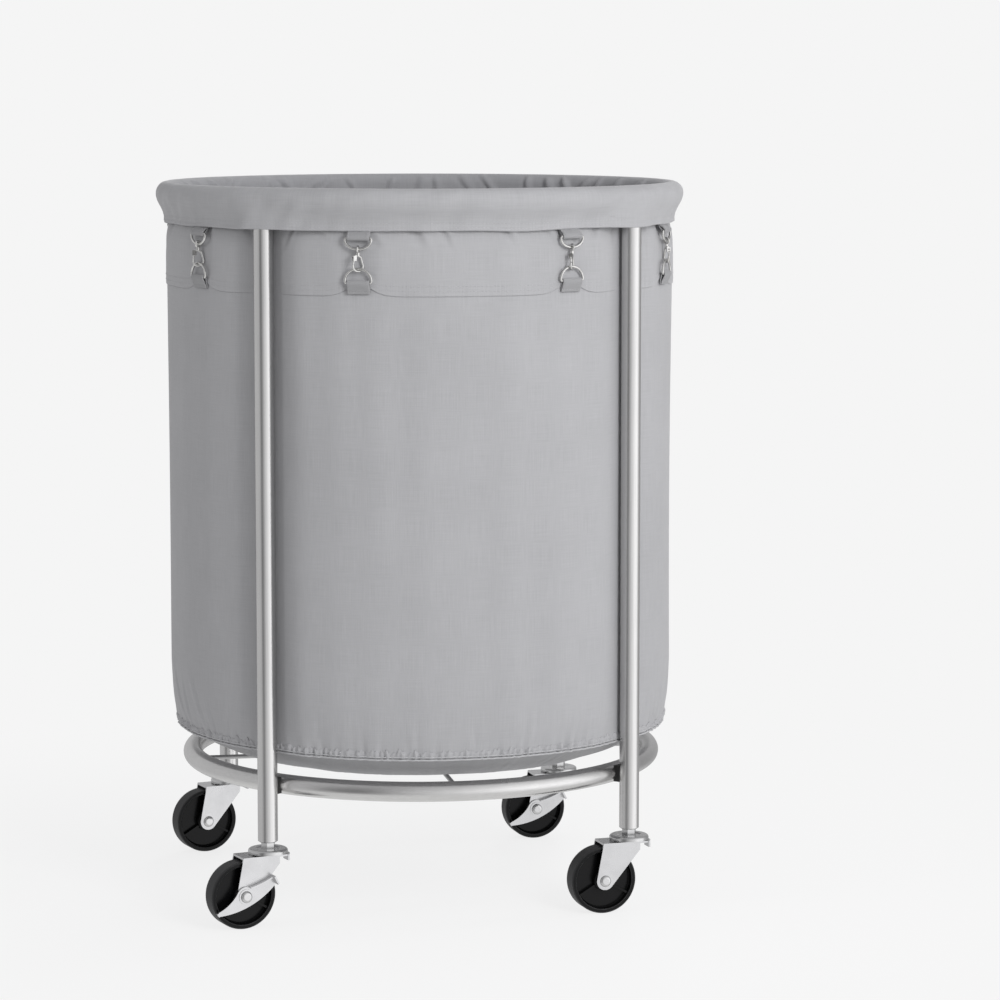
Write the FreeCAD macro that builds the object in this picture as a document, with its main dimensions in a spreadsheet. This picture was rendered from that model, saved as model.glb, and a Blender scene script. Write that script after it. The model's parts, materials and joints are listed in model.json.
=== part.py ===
import FreeCAD, Part
import math
import os
import Sketcher

# Round rolling laundry hamper: a steel tube frame on four swivel casters, with a
# removable fabric bag whose flap folds over the top ring and clips to the bag's wall.
# Frame: origin on the floor under the middle, +Z up, the front at -Y, millimetres.
# A caster's own frame has +X along its trail, +Y across the wheel and +Z up.

SIZES = [
    ("frame_circle", 287.0, "radius of the circle of the legs and of the top ring"),
    ("tube_radius", 11.0, "frame tubes, outside"),
    ("tube_bore", 10.0, "frame tubes, inside"),
    ("leg_bottom", 94.0, "height of the legs' lower ends"),
    ("leg_top", 785.0, "height of the legs' upper ends"),
    ("top_ring_height", 797.0, "middle of the top ring's tube"),
    ("bottom_ring_circle", 264.0, "radius of the bottom ring's middle line"),
    ("bottom_ring_height", 154.0, "middle of the bottom ring's tube"),
    ("rod_radius", 2.5, "crossed rods under the bag"),
    ("lower_rod_height", 150.0, "middle of the rod along X"),
    ("rod_reach", 256.0, "half length of a rod"),
    ("screw_radius", 3.0, "M6 screws and studs"),
    ("hole_gap", 0.2, "radial clearance of the screws' holes"),
    ("nut_radius", 4.5, "rivet nuts, outside"),
    ("spacer_half_width", 6.5, "saddle between bottom ring and leg, across"),
    ("spacer_half_height", 9.0, "the same saddle, up and down"),
    ("plug_length", 26.0, "threaded plugs in the legs"),
    ("stem_thread_radius", 5.0, "M10 caster stem"),
    ("collar_across_flats", 14.0, "hexagon collar of the stem"),
    ("swivel_pin_radius", 4.0, "riveted pin that the fork turns on"),
    ("disc_radius", 22.0, "swivel disc"),
    ("ball_radius", 1.7, "swivel bearing balls"),
    ("ball_circle", 16.0, "radius of the ring of balls"),
    ("wheel_radius", 37.5, "caster wheel"),
    ("wheel_half_width", 11.0, "half the width over the wheel's rim"),
    ("hub_half_width", 12.3, "half the width over the wheel's hub"),
    ("trail", 33.0, "axle behind the swivel axis"),
    ("fork_top", 80.0, "height of the fork's upper face"),
    ("fork_half_width", 15.0, "half the width over the fork"),
    ("fork_sheet", 2.0, "sheet thickness of the fork and lever"),
    ("fork_end_radius", 10.0, "round lower ends of the fork"),
    ("axle_radius", 4.0, "wheel axle"),
    ("running_gap", 0.07, "radial clearance of turning fits"),
    ("bushing_radius", 6.0, "sleeve in the hub, outside"),
    ("lever_length", 76.0, "brake lever, end to end"),
    ("lever_slope", 27.0, "lever's slope when released, degrees"),
    ("front_left_trail", 196.0, "direction of the front left caster's trail"),
    ("front_right_trail", 188.0, "direction of the front right caster's trail"),
    ("rear_left_trail", 196.0, "direction of the rear left caster's trail"),
    ("rear_right_trail", 186.0, "direction of the rear right caster's trail"),
    ("cloth", 1.5, "modelled thickness of the bag's cloth"),
    ("wall_radius", 288.0, "bag's wall between the legs"),
    ("leg_room", 1.6, "gap from a leg to the cloth pressed in behind it"),
    ("seam_height", 192.5, "seam between wall and base panel"),
    ("hem_height", 765.0, "lower edge of the folded flap"),
    ("skirt_radius", 288.4, "flap's lower edge between the legs, outside"),
    ("base_height", 158.0, "underside of the base panel, on the upper rod"),
    ("base_flat", 203.0, "radius of the base panel's flat middle"),
    ("clip_circle", 293.0, "radius of the D-rings' planes"),
    ("ring_wire", 1.4, "wire radius of the D-rings"),
    ("hook_wire", 1.2, "wire radius of the snap hooks"),
    ("upper_bar_height", 757.4, "straight bar of the upper D-rings"),
    ("lower_bar_height", 709.5, "straight bar of the lower D-rings"),
    ("ring_half_width", 14.5, "half width of a D-ring, at the wire's middle"),
    ("upper_ring_depth", 12.0, "from an upper D-ring's bar to its bow, between the wire's middles"),
    ("lower_ring_depth", 15.2, "the same on a lower D-ring, which stands clear of its tab"),
    ("hook_twist", 42.0, "turn of each hook about its own upright axis"),
    ("tab_width", 25.0, "webbing tabs"),
    ("gate_gap", 0.4, "gap between a hook's nose and its gate"),
]

CORNERS = {"front_left": 225, "front_right": 315, "rear_left": 135, "rear_right": 45}
BRAKED = ("front_left", "rear_right")
CLIP_ANGLES = [22.5 + 45 * index for index in range(8)]
CLIP_DRIFT = [0.0, 0.0, 0.0, 1.5, 2.5, 0.5, 2.5, -6.5]
BALLS_PER_SWIVEL = 12

# A snap hook in its own frame: the eye's middle is the origin, +Z up.
HOOK_LOW = -17.6
HOOK_HALF = 6.0
NOSE = 1.2
GATE_PIN = 0.75

doc = FreeCAD.newDocument("laundry_hamper")
subparts = []


def make_sheet():
    sheet = doc.addObject("Spreadsheet::Sheet", "sizes")
    for row, (alias, value, meaning) in enumerate(SIZES, start=1):
        sheet.set("A%d" % row, meaning)
        sheet.set("B%d" % row, str(value))
        sheet.setAlias("B%d" % row, alias)
    doc.recompute()
    return sheet


sizes = make_sheet()


def keep(obj, label):
    """Name an object as a sub-part: its label is the name of its file."""
    obj.Label = label
    subparts.append(obj)
    return obj


def primitive(kind, name, place=None, **expressions):
    obj = doc.addObject(kind, name)
    if place is not None:
        obj.Placement = place
    for prop, expression in expressions.items():
        obj.setExpression(prop.replace("_", "."), expression)
    return obj


def cut(name, base, tools):
    """Cut the tools away one after another; the last cut has the given name."""
    result = base
    for index, tool in enumerate(tools, start=1):
        step = doc.addObject("Part::Cut", name if index == len(tools) else "%s_%d" % (name, index))
        step.Base = result
        step.Tool = tool
        result = step
    return result


def fuse(name, shapes):
    result = doc.addObject("Part::MultiFuse", name)
    result.Shapes = shapes
    return result


def group(name, shapes):
    result = doc.addObject("Part::Compound", name)
    result.Links = shapes
    return result


def on_circle(obj, radius, angle):
    """Bind an object's X and Y to a circle about the middle of the frame."""
    obj.setExpression("Placement.Base.x", "%s * cos(%g)" % (radius, angle))
    obj.setExpression("Placement.Base.y", "%s * sin(%g)" % (radius, angle))
    return obj


def outward(angle):
    """Turn local +Z to point away from the middle, at this angle about Z."""
    swing = FreeCAD.Rotation(FreeCAD.Vector(0, 0, 1), angle)
    return swing.multiply(FreeCAD.Rotation(FreeCAD.Vector(0, 1, 0), 90))


def origin_plane(body, role):
    return [f for f in body.Origin.OriginFeatures if f.Role == role][0]


def sketch(body, name, role):
    made = body.newObject("Sketcher::SketchObject", name)
    made.AttachmentSupport = [(origin_plane(body, role), "")]
    made.MapMode = "FlatFace"
    return made


def bind(made, kind, items, expression):
    value = float(made.evalExpression(expression))
    index = made.addConstraint(Sketcher.Constraint(kind, *items, value))
    made.setExpression("Constraints[%d]" % index, expression)


def arc_through(start, end, radius):
    """The shorter arc from start to end: radius > 0 bulges to the right of the way."""
    chord = end - start
    half = chord.Length / 2
    sagitta = abs(radius) - math.sqrt(max(radius * radius - half * half, 0.0))
    right = FreeCAD.Vector(chord.y, -chord.x, 0).normalize()
    middle = (start + end) / 2 + right * math.copysign(sagitta, radius)
    return Part.ArcOfCircle(start, middle, end)


def outline(made, corners):
    """A closed outline; each corner is (x, y) or (x, y, radius of the arc to the next)."""
    points = []
    for corner in corners:
        x = float(made.evalExpression(corner[0]))
        y = float(made.evalExpression(corner[1]))
        points.append(FreeCAD.Vector(x, y, 0))
    edges = []
    for index, corner in enumerate(corners):
        start = points[index]
        end = points[(index + 1) % len(points)]
        if len(corner) == 3:
            edges.append(arc_through(start, end, float(made.evalExpression(corner[2]))))
        else:
            edges.append(Part.LineSegment(start, end))
    first = made.addGeometry(edges, False)[0]
    ends = []
    for index, corner in enumerate(corners):
        clockwise = len(corner) == 3 and float(made.evalExpression(corner[2])) < 0
        ends.append((2, 1) if clockwise else (1, 2))
    for index, corner in enumerate(corners):
        following = (index + 1) % len(corners)
        here = first + index
        made.addConstraint(Sketcher.Constraint(
            "Coincident", here, ends[index][1], first + following, ends[following][0]))
        bind(made, "DistanceX", (-1, 1, here, ends[index][0]), corner[0])
        bind(made, "DistanceY", (-1, 1, here, ends[index][0]), corner[1])
        if len(corner) == 3:
            bind(made, "Radius", (here,), "abs(%s)" % corner[2])


def circle(made, x, y, radius):
    centre = FreeCAD.Vector(float(made.evalExpression(x)), float(made.evalExpression(y)), 0)
    size = float(made.evalExpression(radius))
    index = made.addGeometry(Part.Circle(centre, FreeCAD.Vector(0, 0, 1), size), False)
    bind(made, "DistanceX", (-1, 1, index, 3), x)
    bind(made, "DistanceY", (-1, 1, index, 3), y)
    bind(made, "Radius", (index,), radius)


def pad(body, name, profile, length):
    made = body.newObject("PartDesign::Pad", name)
    made.Profile = profile
    made.SideType = "Symmetric"
    made.setExpression("Length", length)
    return made


def pocket(body, name, profile, length):
    made = body.newObject("PartDesign::Pocket", name)
    made.Profile = profile
    made.SideType = "Symmetric"
    made.setExpression("Length", length)
    return made


def revolved(name, corners):
    """A body of revolution about Z from an outline of (radius, height) corners."""
    body = doc.addObject("PartDesign::Body", name)
    profile = sketch(body, name + "_profile", "XZ_Plane")
    outline(profile, corners)
    turn = body.newObject("PartDesign::Revolution", name + "_turn")
    turn.Profile = profile
    turn.ReferenceAxis = (profile, ["V_Axis"])
    turn.Angle = 360
    return body


# ---------------------------------------------------------------- the tube frame


def ring_tube(name, circle_radius, height):
    outside = primitive("Part::Torus", name + "_outside", Radius1=circle_radius,
                        Radius2="sizes.tube_radius", Placement_Base_z=height)
    bore = primitive("Part::Torus", name + "_bore", Radius1=circle_radius,
                     Radius2="sizes.tube_bore", Placement_Base_z=height)
    return outside, bore


def make_top_ring():
    outside, bore = ring_tube("top_ring", "sizes.frame_circle", "sizes.top_ring_height")
    tools = [bore]
    for corner, angle in CORNERS.items():
        hole = primitive("Part::Cylinder", "top_ring_hole_" + corner,
                         Radius="sizes.nut_radius", Height="sizes.tube_radius",
                         Placement_Base_z="sizes.leg_top")
        tools.append(on_circle(hole, "sizes.frame_circle", angle))
    keep(cut("top_ring", outside, tools), "top_ring")


def rod(name, turn, height, radius):
    place = FreeCAD.Placement(FreeCAD.Vector(), turn)
    made = primitive("Part::Cylinder", name, place, Radius=radius,
                     Height="2 * sizes.rod_reach", Placement_Base_z=height)
    side = "Placement.Base.x" if "lower" in name else "Placement.Base.y"
    sign = "-1" if "lower" in name else "1"
    made.setExpression(side, sign + " * sizes.rod_reach")
    return made


def make_bottom_ring():
    outside, bore = ring_tube("bottom_ring", "sizes.bottom_ring_circle",
                              "sizes.bottom_ring_height")
    tools = [bore]
    for corner, angle in CORNERS.items():
        place = FreeCAD.Placement(FreeCAD.Vector(), outward(angle))
        hole = primitive("Part::Cylinder", "bottom_ring_hole_" + corner, place,
                         Radius="sizes.screw_radius + sizes.hole_gap", Height="3 * sizes.tube_radius",
                         Placement_Base_z="sizes.bottom_ring_height")
        inner = "(sizes.bottom_ring_circle - 1.5 * sizes.tube_radius)"
        tools.append(on_circle(hole, inner, angle))
    along_x = FreeCAD.Rotation(FreeCAD.Vector(0, 1, 0), 90)
    along_y = FreeCAD.Rotation(FreeCAD.Vector(1, 0, 0), 90)
    rods = [("lower", along_x, "sizes.lower_rod_height"),
            ("upper", along_y, "sizes.lower_rod_height + 2 * sizes.rod_radius")]
    for name, turn, height in rods:
        tools.append(rod("ring_socket_" + name, turn, height, "sizes.rod_radius"))
        made = rod("rod_" + name, turn, height, "sizes.rod_radius")
        keep(made, "base_rod_" + name)
    keep(cut("bottom_ring", outside, tools), "bottom_ring")


def make_legs():
    for corner, angle in CORNERS.items():
        outside = primitive("Part::Cylinder", "leg_outside_" + corner,
                            Radius="sizes.tube_radius", Placement_Base_z="sizes.leg_bottom",
                            Height="sizes.leg_top - sizes.leg_bottom")
        bore = primitive("Part::Cylinder", "leg_bore_" + corner,
                         Radius="sizes.tube_bore", Placement_Base_z="sizes.leg_bottom",
                         Height="sizes.leg_top - sizes.leg_bottom")
        on_circle(outside, "sizes.frame_circle", angle)
        on_circle(bore, "sizes.frame_circle", angle)
        place = FreeCAD.Placement(FreeCAD.Vector(), outward(angle))
        hole = primitive("Part::Cylinder", "leg_nut_hole_" + corner, place,
                         Radius="sizes.nut_radius", Height="sizes.tube_radius",
                         Placement_Base_z="sizes.bottom_ring_height")
        on_circle(hole, "(sizes.frame_circle - sizes.tube_radius - 2)", angle)
        keep(cut("leg_" + corner, outside, [bore, hole]), "leg_" + corner)


def round_piece(name, corners, circle_radius, angle):
    """A turned piece that stands upright on a circle about the middle."""
    return on_circle(revolved(name, corners), circle_radius, angle)


def make_leg_ends():
    top_plugs = []
    bottom_plugs = []
    ring_nuts = []
    for corner, angle in CORNERS.items():
        top_plugs.append(round_piece("top_plug_" + corner, [
            ("0", "sizes.leg_top - sizes.plug_length"),
            ("sizes.tube_bore", "sizes.leg_top - sizes.plug_length"),
            ("sizes.tube_bore", "sizes.leg_top"),
            ("sizes.screw_radius", "sizes.leg_top"),
            ("sizes.screw_radius", "sizes.leg_top + 10"),
            ("0", "sizes.leg_top + 10")], "sizes.frame_circle", angle))
        bottom_plugs.append(round_piece("bottom_plug_" + corner, [
            ("sizes.stem_thread_radius", "sizes.leg_bottom - 1.2"),
            ("sizes.tube_bore - 0.8", "sizes.leg_bottom - 1.2", "1"),
            ("sizes.tube_bore", "sizes.leg_bottom - 0.4"),
            ("sizes.tube_bore", "sizes.leg_bottom + sizes.plug_length"),
            ("sizes.stem_thread_radius", "sizes.leg_bottom + sizes.plug_length")],
            "sizes.frame_circle", angle))
        ring_nuts.append(round_piece("ring_nut_" + corner, [
            ("sizes.screw_radius", "sizes.leg_top"),
            ("sizes.nut_radius + 2", "sizes.leg_top"),
            ("sizes.nut_radius + 2", "sizes.leg_top + 0.9"),
            ("sizes.nut_radius", "sizes.leg_top + 0.9"),
            ("sizes.nut_radius", "sizes.leg_top + 12"),
            ("sizes.screw_radius", "sizes.leg_top + 12")], "sizes.frame_circle", angle))
    keep(group("top_plugs", top_plugs), "leg_top_plugs")
    keep(group("bottom_plugs", bottom_plugs), "leg_bottom_plugs")
    keep(group("ring_nuts", ring_nuts), "top_ring_nuts")


def make_ring_joints():
    """At each leg: the saddle spacer, the screw from inside the ring, the leg's nut."""
    screws = []
    nuts = []
    spacers = []
    for corner, angle in CORNERS.items():
        place = FreeCAD.Placement(FreeCAD.Vector(), outward(angle))
        screw = revolved("ring_screw_" + corner, [
            ("0", "-sizes.tube_radius - 3.4"),
            ("3.5", "-sizes.tube_radius - 3.4", "2.4"),
            ("5.5", "-sizes.tube_radius - 1.1"),
            ("5.5", "-sizes.tube_radius - 0.2"),
            ("sizes.screw_radius", "-sizes.tube_radius - 0.2"),
            ("sizes.screw_radius", "18"),
            ("0", "18")])
        nut = revolved("leg_nut_" + corner, [
            ("sizes.screw_radius", "13.2"),
            ("sizes.nut_radius", "13.2"),
            ("sizes.nut_radius", "22"),
            ("sizes.screw_radius", "22")])
        for piece, pieces in ((screw, screws), (nut, nuts)):
            piece.Placement = place
            piece.setExpression("Placement.Base.z", "sizes.bottom_ring_height")
            pieces.append(on_circle(piece, "sizes.bottom_ring_circle", angle))
        spacers.append(make_spacer(corner, angle))
    keep(group("ring_screws", screws), "ring_bolts")
    keep(group("leg_nuts", nuts), "leg_rivet_nuts")
    keep(group("spacers", spacers), "ring_spacers")


def make_spacer(corner, angle):
    turn = FreeCAD.Rotation(FreeCAD.Vector(0, 0, 1), angle)
    block = doc.addObject("PartDesign::Body", "spacer_block_" + corner)
    face = sketch(block, "spacer_face_" + corner, "YZ_Plane")
    side = "sizes.spacer_half_width"
    low = "sizes.bottom_ring_height - sizes.spacer_half_height"
    high = "sizes.bottom_ring_height + sizes.spacer_half_height"
    outline(face, [("-" + side, low), (side, low), (side, high), ("-" + side, high)])
    pad(block, "spacer_pad_" + corner, face, "14")
    block.Placement = FreeCAD.Placement(FreeCAD.Vector(), turn)
    on_circle(block, "(sizes.frame_circle - sizes.tube_radius - 0.5)", angle)
    ring = primitive("Part::Torus", "spacer_ring_" + corner,
                     Radius1="sizes.bottom_ring_circle", Radius2="sizes.tube_radius",
                     Placement_Base_z="sizes.bottom_ring_height")
    leg = primitive("Part::Cylinder", "spacer_leg_" + corner, Radius="sizes.tube_radius",
                    Height="2 * sizes.bottom_ring_height")
    on_circle(leg, "sizes.frame_circle", angle)
    place = FreeCAD.Placement(FreeCAD.Vector(), outward(angle))
    hole = primitive("Part::Cylinder", "spacer_hole_" + corner, place,
                     Radius="sizes.screw_radius + sizes.hole_gap", Height="3 * sizes.tube_radius",
                     Placement_Base_z="sizes.bottom_ring_height")
    on_circle(hole, "sizes.bottom_ring_circle", angle)
    return cut("spacer_" + corner, block, [ring, leg, hole])


# -------------------------------------------------------------------- the casters


def stand(obj, corner):
    """Put a piece made in the caster's frame under its leg, turned along its trail."""
    trail = sizes.get(corner + "_trail")
    turn = FreeCAD.Rotation(FreeCAD.Vector(0, 0, 1), trail)
    obj.Placement = FreeCAD.Placement(FreeCAD.Vector(), turn)
    return on_circle(obj, "sizes.frame_circle", CORNERS[corner])


def stand_on_axle(obj, corner, slope=0.0):
    """Put a piece made about Z at the origin on the caster's axle, along +Y."""
    trail = sizes.get(corner + "_trail")
    turn = FreeCAD.Rotation(FreeCAD.Vector(0, 0, 1), trail)
    lay = FreeCAD.Rotation(FreeCAD.Vector(1, 0, 0), -90)
    tilt = FreeCAD.Rotation(FreeCAD.Vector(0, 1, 0), slope)
    obj.Placement = FreeCAD.Placement(FreeCAD.Vector(), turn.multiply(tilt.multiply(lay)))
    angle = CORNERS[corner]
    across = "sizes.frame_circle * cos(%g) + sizes.trail * cos(sizes.%s_trail)"
    along = "sizes.frame_circle * sin(%g) + sizes.trail * sin(sizes.%s_trail)"
    obj.setExpression("Placement.Base.x", across % (angle, corner))
    obj.setExpression("Placement.Base.y", along % (angle, corner))
    obj.setExpression("Placement.Base.z", "sizes.wheel_radius")
    return obj


def make_stem(corner):
    shaft = revolved("stem_shaft_" + corner, [
        ("0", "sizes.fork_top - 5.4"),
        ("4", "sizes.fork_top - 5.4", "3"),
        ("6.5", "sizes.fork_top - 3"),
        ("6.5", "sizes.fork_top - 2.4"),
        ("sizes.swivel_pin_radius", "sizes.fork_top - 2.4"),
        ("sizes.swivel_pin_radius", "sizes.fork_top + 6"),
        ("sizes.stem_thread_radius", "sizes.fork_top + 6"),
        ("sizes.stem_thread_radius", "sizes.leg_bottom + sizes.plug_length - 2"),
        ("0", "sizes.leg_bottom + sizes.plug_length - 2")])
    collar = primitive("Part::Prism", "stem_collar_" + corner, Polygon="6",
                       Circumradius="sizes.collar_across_flats / 2 / cos(30)",
                       Height="sizes.leg_bottom - 1.2 - sizes.fork_top - 5",
                       Placement_Base_z="sizes.fork_top + 5")
    stem = fuse("stem_whole_" + corner, [shaft, collar])
    keep(stand(stem, corner), "stem_" + corner)


def make_disc(corner):
    disc = revolved("disc_" + corner, [
        ("sizes.swivel_pin_radius", "sizes.fork_top + 3.4"),
        ("11.5", "sizes.fork_top + 3.4"),
        ("13.2", "sizes.fork_top + 4.3"),
        ("18.6", "sizes.fork_top + 4.3", "2"),
        ("sizes.disc_radius - 1.4", "sizes.fork_top + 2.5"),
        ("sizes.disc_radius - 1.4", "sizes.fork_top + 1.2"),
        ("sizes.disc_radius", "sizes.fork_top + 1.2"),
        ("sizes.disc_radius", "sizes.fork_top + 3", "3"),
        ("sizes.disc_radius - 2.6", "sizes.fork_top + 6"),
        ("13.6", "sizes.fork_top + 6"),
        ("11", "sizes.fork_top + 5"),
        ("sizes.swivel_pin_radius", "sizes.fork_top + 5")])
    keep(stand(disc, corner), "swivel_disc_" + corner)


def make_balls():
    balls = []
    for corner, angle in CORNERS.items():
        for index in range(BALLS_PER_SWIVEL):
            turn = index * 360.0 / BALLS_PER_SWIVEL
            ball = primitive("Part::Sphere", "ball_%s_%d" % (corner, index),
                             Radius="sizes.ball_radius",
                             Placement_Base_z="sizes.fork_top + 2.15")
            across = "sizes.frame_circle * cos(%g) + sizes.ball_circle * cos(%g)"
            along = "sizes.frame_circle * sin(%g) + sizes.ball_circle * sin(%g)"
            ball.setExpression("Placement.Base.x", across % (angle, turn))
            ball.setExpression("Placement.Base.y", along % (angle, turn))
            balls.append(ball)
    keep(group("balls", balls), "swivel_balls")


def make_fork(corner):
    body = doc.addObject("PartDesign::Body", "fork_" + corner)
    side = sketch(body, "fork_side_" + corner, "XZ_Plane")
    end = "sizes.fork_end_radius"
    outline(side, [
        ("-8", "sizes.fork_top"),
        ("-8", "sizes.fork_top - 9"),
        ("sizes.trail - 0.74 * " + end, "sizes.wheel_radius - 0.67 * " + end, end),
        ("sizes.trail + %s" % end, "sizes.wheel_radius + 0.1 * " + end),
        ("sizes.trail + 2", "sizes.fork_top")])
    pad(body, "fork_sides_" + corner, side, "2 * sizes.fork_half_width")
    channel = sketch(body, "fork_channel_" + corner, "YZ_Plane")
    inner = "(sizes.fork_half_width - sizes.fork_sheet)"
    under = "sizes.fork_top - sizes.fork_sheet"
    outline(channel, [("-" + inner, "0"), (inner, "0"), (inner, under), ("-" + inner, under)])
    pocket(body, "fork_hollow_" + corner, channel, "200")
    plate = sketch(body, "fork_plate_" + corner, "XY_Plane")
    outline(plate, [
        ("-6", "-sizes.fork_half_width"),
        ("-6", "sizes.fork_half_width"),
        ("-17", "sizes.fork_half_width", "-10"),
        ("-23", "7"),
        ("-23", "-7", "-10"),
        ("-17", "-sizes.fork_half_width")])
    front = body.newObject("PartDesign::Pad", "fork_front_" + corner)
    plate.setExpression("AttachmentOffset.Base.z", under)
    front.Profile = plate
    front.setExpression("Length", "sizes.fork_sheet")
    tab = sketch(body, "fork_tab_" + corner, "XZ_Plane")
    outline(tab, [
        ("-23", "sizes.fork_top - 9"),
        ("-21", "sizes.fork_top - 9"),
        ("-21", "sizes.fork_top"),
        ("-23", "sizes.fork_top")])
    pad(body, "fork_tab_pad_" + corner, tab, "14")
    pin = sketch(body, "fork_pin_" + corner, "XY_Plane")
    circle(pin, "0", "0", "sizes.swivel_pin_radius + sizes.running_gap")
    pocket(body, "fork_pin_hole_" + corner, pin, "400")
    axle = sketch(body, "fork_axle_" + corner, "XZ_Plane")
    circle(axle, "sizes.trail", "sizes.wheel_radius", "sizes.axle_radius")
    pocket(body, "fork_axle_hole_" + corner, axle, "100")
    keep(stand(body, corner), "fork_" + corner)


def make_axle(corner):
    """A riveted axle; on a braked caster it reaches out past the lever."""
    outer = "(sizes.fork_half_width + %s)" % ("3.4" if corner in BRAKED else "0")
    body = revolved("axle_" + corner, [
        ("0", "-sizes.fork_half_width - 2.6"),
        ("3.5", "-sizes.fork_half_width - 2.6", "3.4"),
        ("6.5", "-sizes.fork_half_width"),
        ("sizes.axle_radius", "-sizes.fork_half_width"),
        ("sizes.axle_radius", outer),
        ("6.5", outer, "3.4"),
        ("3.5", outer + " + 2.6"),
        ("0", outer + " + 2.6")])
    keep(stand_on_axle(body, corner), "axle_" + corner)


def make_wheel(corner):
    half = "sizes.wheel_half_width"
    rim = "sizes.wheel_radius"
    hub = "sizes.hub_half_width"
    side = [
        ("sizes.bushing_radius", "-" + hub),
        ("10", "-" + hub),
        ("11.5", "-%s + 1.5" % hub),
        ("12", "-3"),
        (rim + " - 7", "-3"),
        (rim + " - 5.5", "-4.5"),
        (rim + " - 5", "-%s + 1" % half),
        (rim + " - 4", "-" + half),
        (rim + " - 2.5", "-" + half, "2.5"),
        (rim, "-%s + 2.5" % half)]
    other = [
        (rim, "%s - 2.5" % half, "2.5"),
        (rim + " - 2.5", half),
        (rim + " - 4", half),
        (rim + " - 5", "%s - 1" % half),
        (rim + " - 5.5", "4.5"),
        (rim + " - 7", "3"),
        ("12", "3"),
        ("11.5", "%s - 1.5" % hub),
        ("10", hub),
        ("sizes.bushing_radius", hub)]
    body = revolved("wheel_" + corner, side + other)
    spoke = sketch(body, "wheel_rib_" + corner, "XY_Plane")
    outline(spoke, [("11", "-1.2"), (rim + " - 5.2", "-1.2"),
                    (rim + " - 5.2", "1.2"), ("11", "1.2")])
    rib = pad(body, "wheel_rib_pad_" + corner, spoke, "2 * (sizes.wheel_half_width - 3)")
    ribs = body.newObject("PartDesign::PolarPattern", "wheel_ribs_" + corner)
    ribs.Originals = [rib]
    ribs.Axis = (spoke, ["N_Axis"])
    ribs.Angle = 360
    ribs.Occurrences = 3
    body.Tip = ribs
    keep(stand_on_axle(body, corner, 30.0), "wheel_" + corner)


def make_bushing(corner):
    half = "(sizes.hub_half_width + 0.3)"
    bore = "sizes.axle_radius + sizes.running_gap"
    body = revolved("bushing_" + corner, [
        (bore, "-" + half),
        ("sizes.bushing_radius", "-" + half),
        ("sizes.bushing_radius", half),
        (bore, half)])
    keep(stand_on_axle(body, corner), "bushing_" + corner)


def make_brake_lever(corner):
    """A pressed leaf on the axle: a foot at one end, a lip at the other, a flange above."""
    body = doc.addObject("PartDesign::Body", "lever_" + corner)
    reach = "sizes.lever_length / 2"
    inner = "sizes.fork_half_width + 0.4"
    leaf = sketch(body, "lever_leaf_" + corner, "XY_Plane")
    outline(leaf, [
        ("-" + reach, "-5", "-110"),
        ("-8", "-8", "12"),
        ("8", "-8", "-48"),
        (reach, "-2"),
        (reach, "2", "95"),
        ("-" + reach, "5")])
    leaf.setExpression("AttachmentOffset.Base.z", inner)
    plate = body.newObject("PartDesign::Pad", "lever_plate_" + corner)
    plate.Profile = leaf
    plate.setExpression("Length", "sizes.fork_sheet - 0.2")
    boss = sketch(body, "lever_boss_" + corner, "XY_Plane")
    circle(boss, "0", "0", "8.6")
    boss.setExpression("AttachmentOffset.Base.z", inner)
    collar = body.newObject("PartDesign::Pad", "lever_collar_" + corner)
    collar.Profile = boss
    collar.setExpression("Length", "sizes.fork_sheet + 0.6")
    fold = sketch(body, "lever_fold_" + corner, "XY_Plane")
    outline(fold, [
        ("-" + reach, "-5", "-110"),
        ("-8", "-8"),
        ("-8", "-6.4", "110"),
        ("-" + reach, "-3.4")])
    fold.setExpression("AttachmentOffset.Base.z", inner)
    strip = body.newObject("PartDesign::Pad", "lever_strip_" + corner)
    strip.Profile = fold
    strip.setExpression("Length", "6")
    ends = (("foot", "-" + reach, "-%s + 2" % reach, "5", "10"),
            ("lip", reach + " - 2", reach, "2", "4"))
    for name, low, high, half, height in ends:
        edge = sketch(body, "lever_%s_%s" % (name, corner), "XY_Plane")
        outline(edge, [(low, "-" + half), (high, "-" + half), (high, half), (low, half)])
        edge.setExpression("AttachmentOffset.Base.z", inner)
        flange = body.newObject("PartDesign::Pad", "lever_%s_pad_%s" % (name, corner))
        flange.Profile = edge
        flange.setExpression("Length", height)
    bore = sketch(body, "lever_bore_" + corner, "XY_Plane")
    circle(bore, "0", "0", "sizes.axle_radius + sizes.running_gap")
    pocket(body, "lever_hole_" + corner, bore, "100")
    keep(stand_on_axle(body, corner, sizes.get("lever_slope")), "brake_lever_" + corner)


# ------------------------------------------------------------------------ the bag


def leg_columns(name, radius, low, height):
    columns = []
    for corner, angle in CORNERS.items():
        column = primitive("Part::Cylinder", "%s_%s" % (name, corner), Radius=radius,
                           Height=height, Placement_Base_z=low)
        columns.append(on_circle(column, "sizes.frame_circle", angle))
    return columns


def wall_corners(inset, low, high):
    """The wall's outline from the seam up to the flap, moved in by inset."""
    radii = [
        ("sizes.wall_radius - 9", low),
        ("sizes.wall_radius - 6", "sizes.seam_height + 16"),
        ("sizes.wall_radius - 2", "sizes.seam_height + 34"),
        ("sizes.wall_radius", "sizes.seam_height + 75"),
        ("sizes.wall_radius", "sizes.hem_height - 65"),
        ("sizes.wall_radius - 0.7", "sizes.hem_height - 43"),
        ("sizes.wall_radius - 0.7", "sizes.hem_height - 17"),
        ("sizes.wall_radius - 3.4", "sizes.hem_height + 1"),
        ("sizes.frame_circle - sizes.tube_radius - 0.7", "sizes.leg_top - 0.5"),
        ("sizes.frame_circle - sizes.tube_radius - 0.7", high)]
    side = [("%s - %s" % (radius, inset), height) for radius, height in radii]
    return [("0", low)] + side + [("0", high)]


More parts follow.
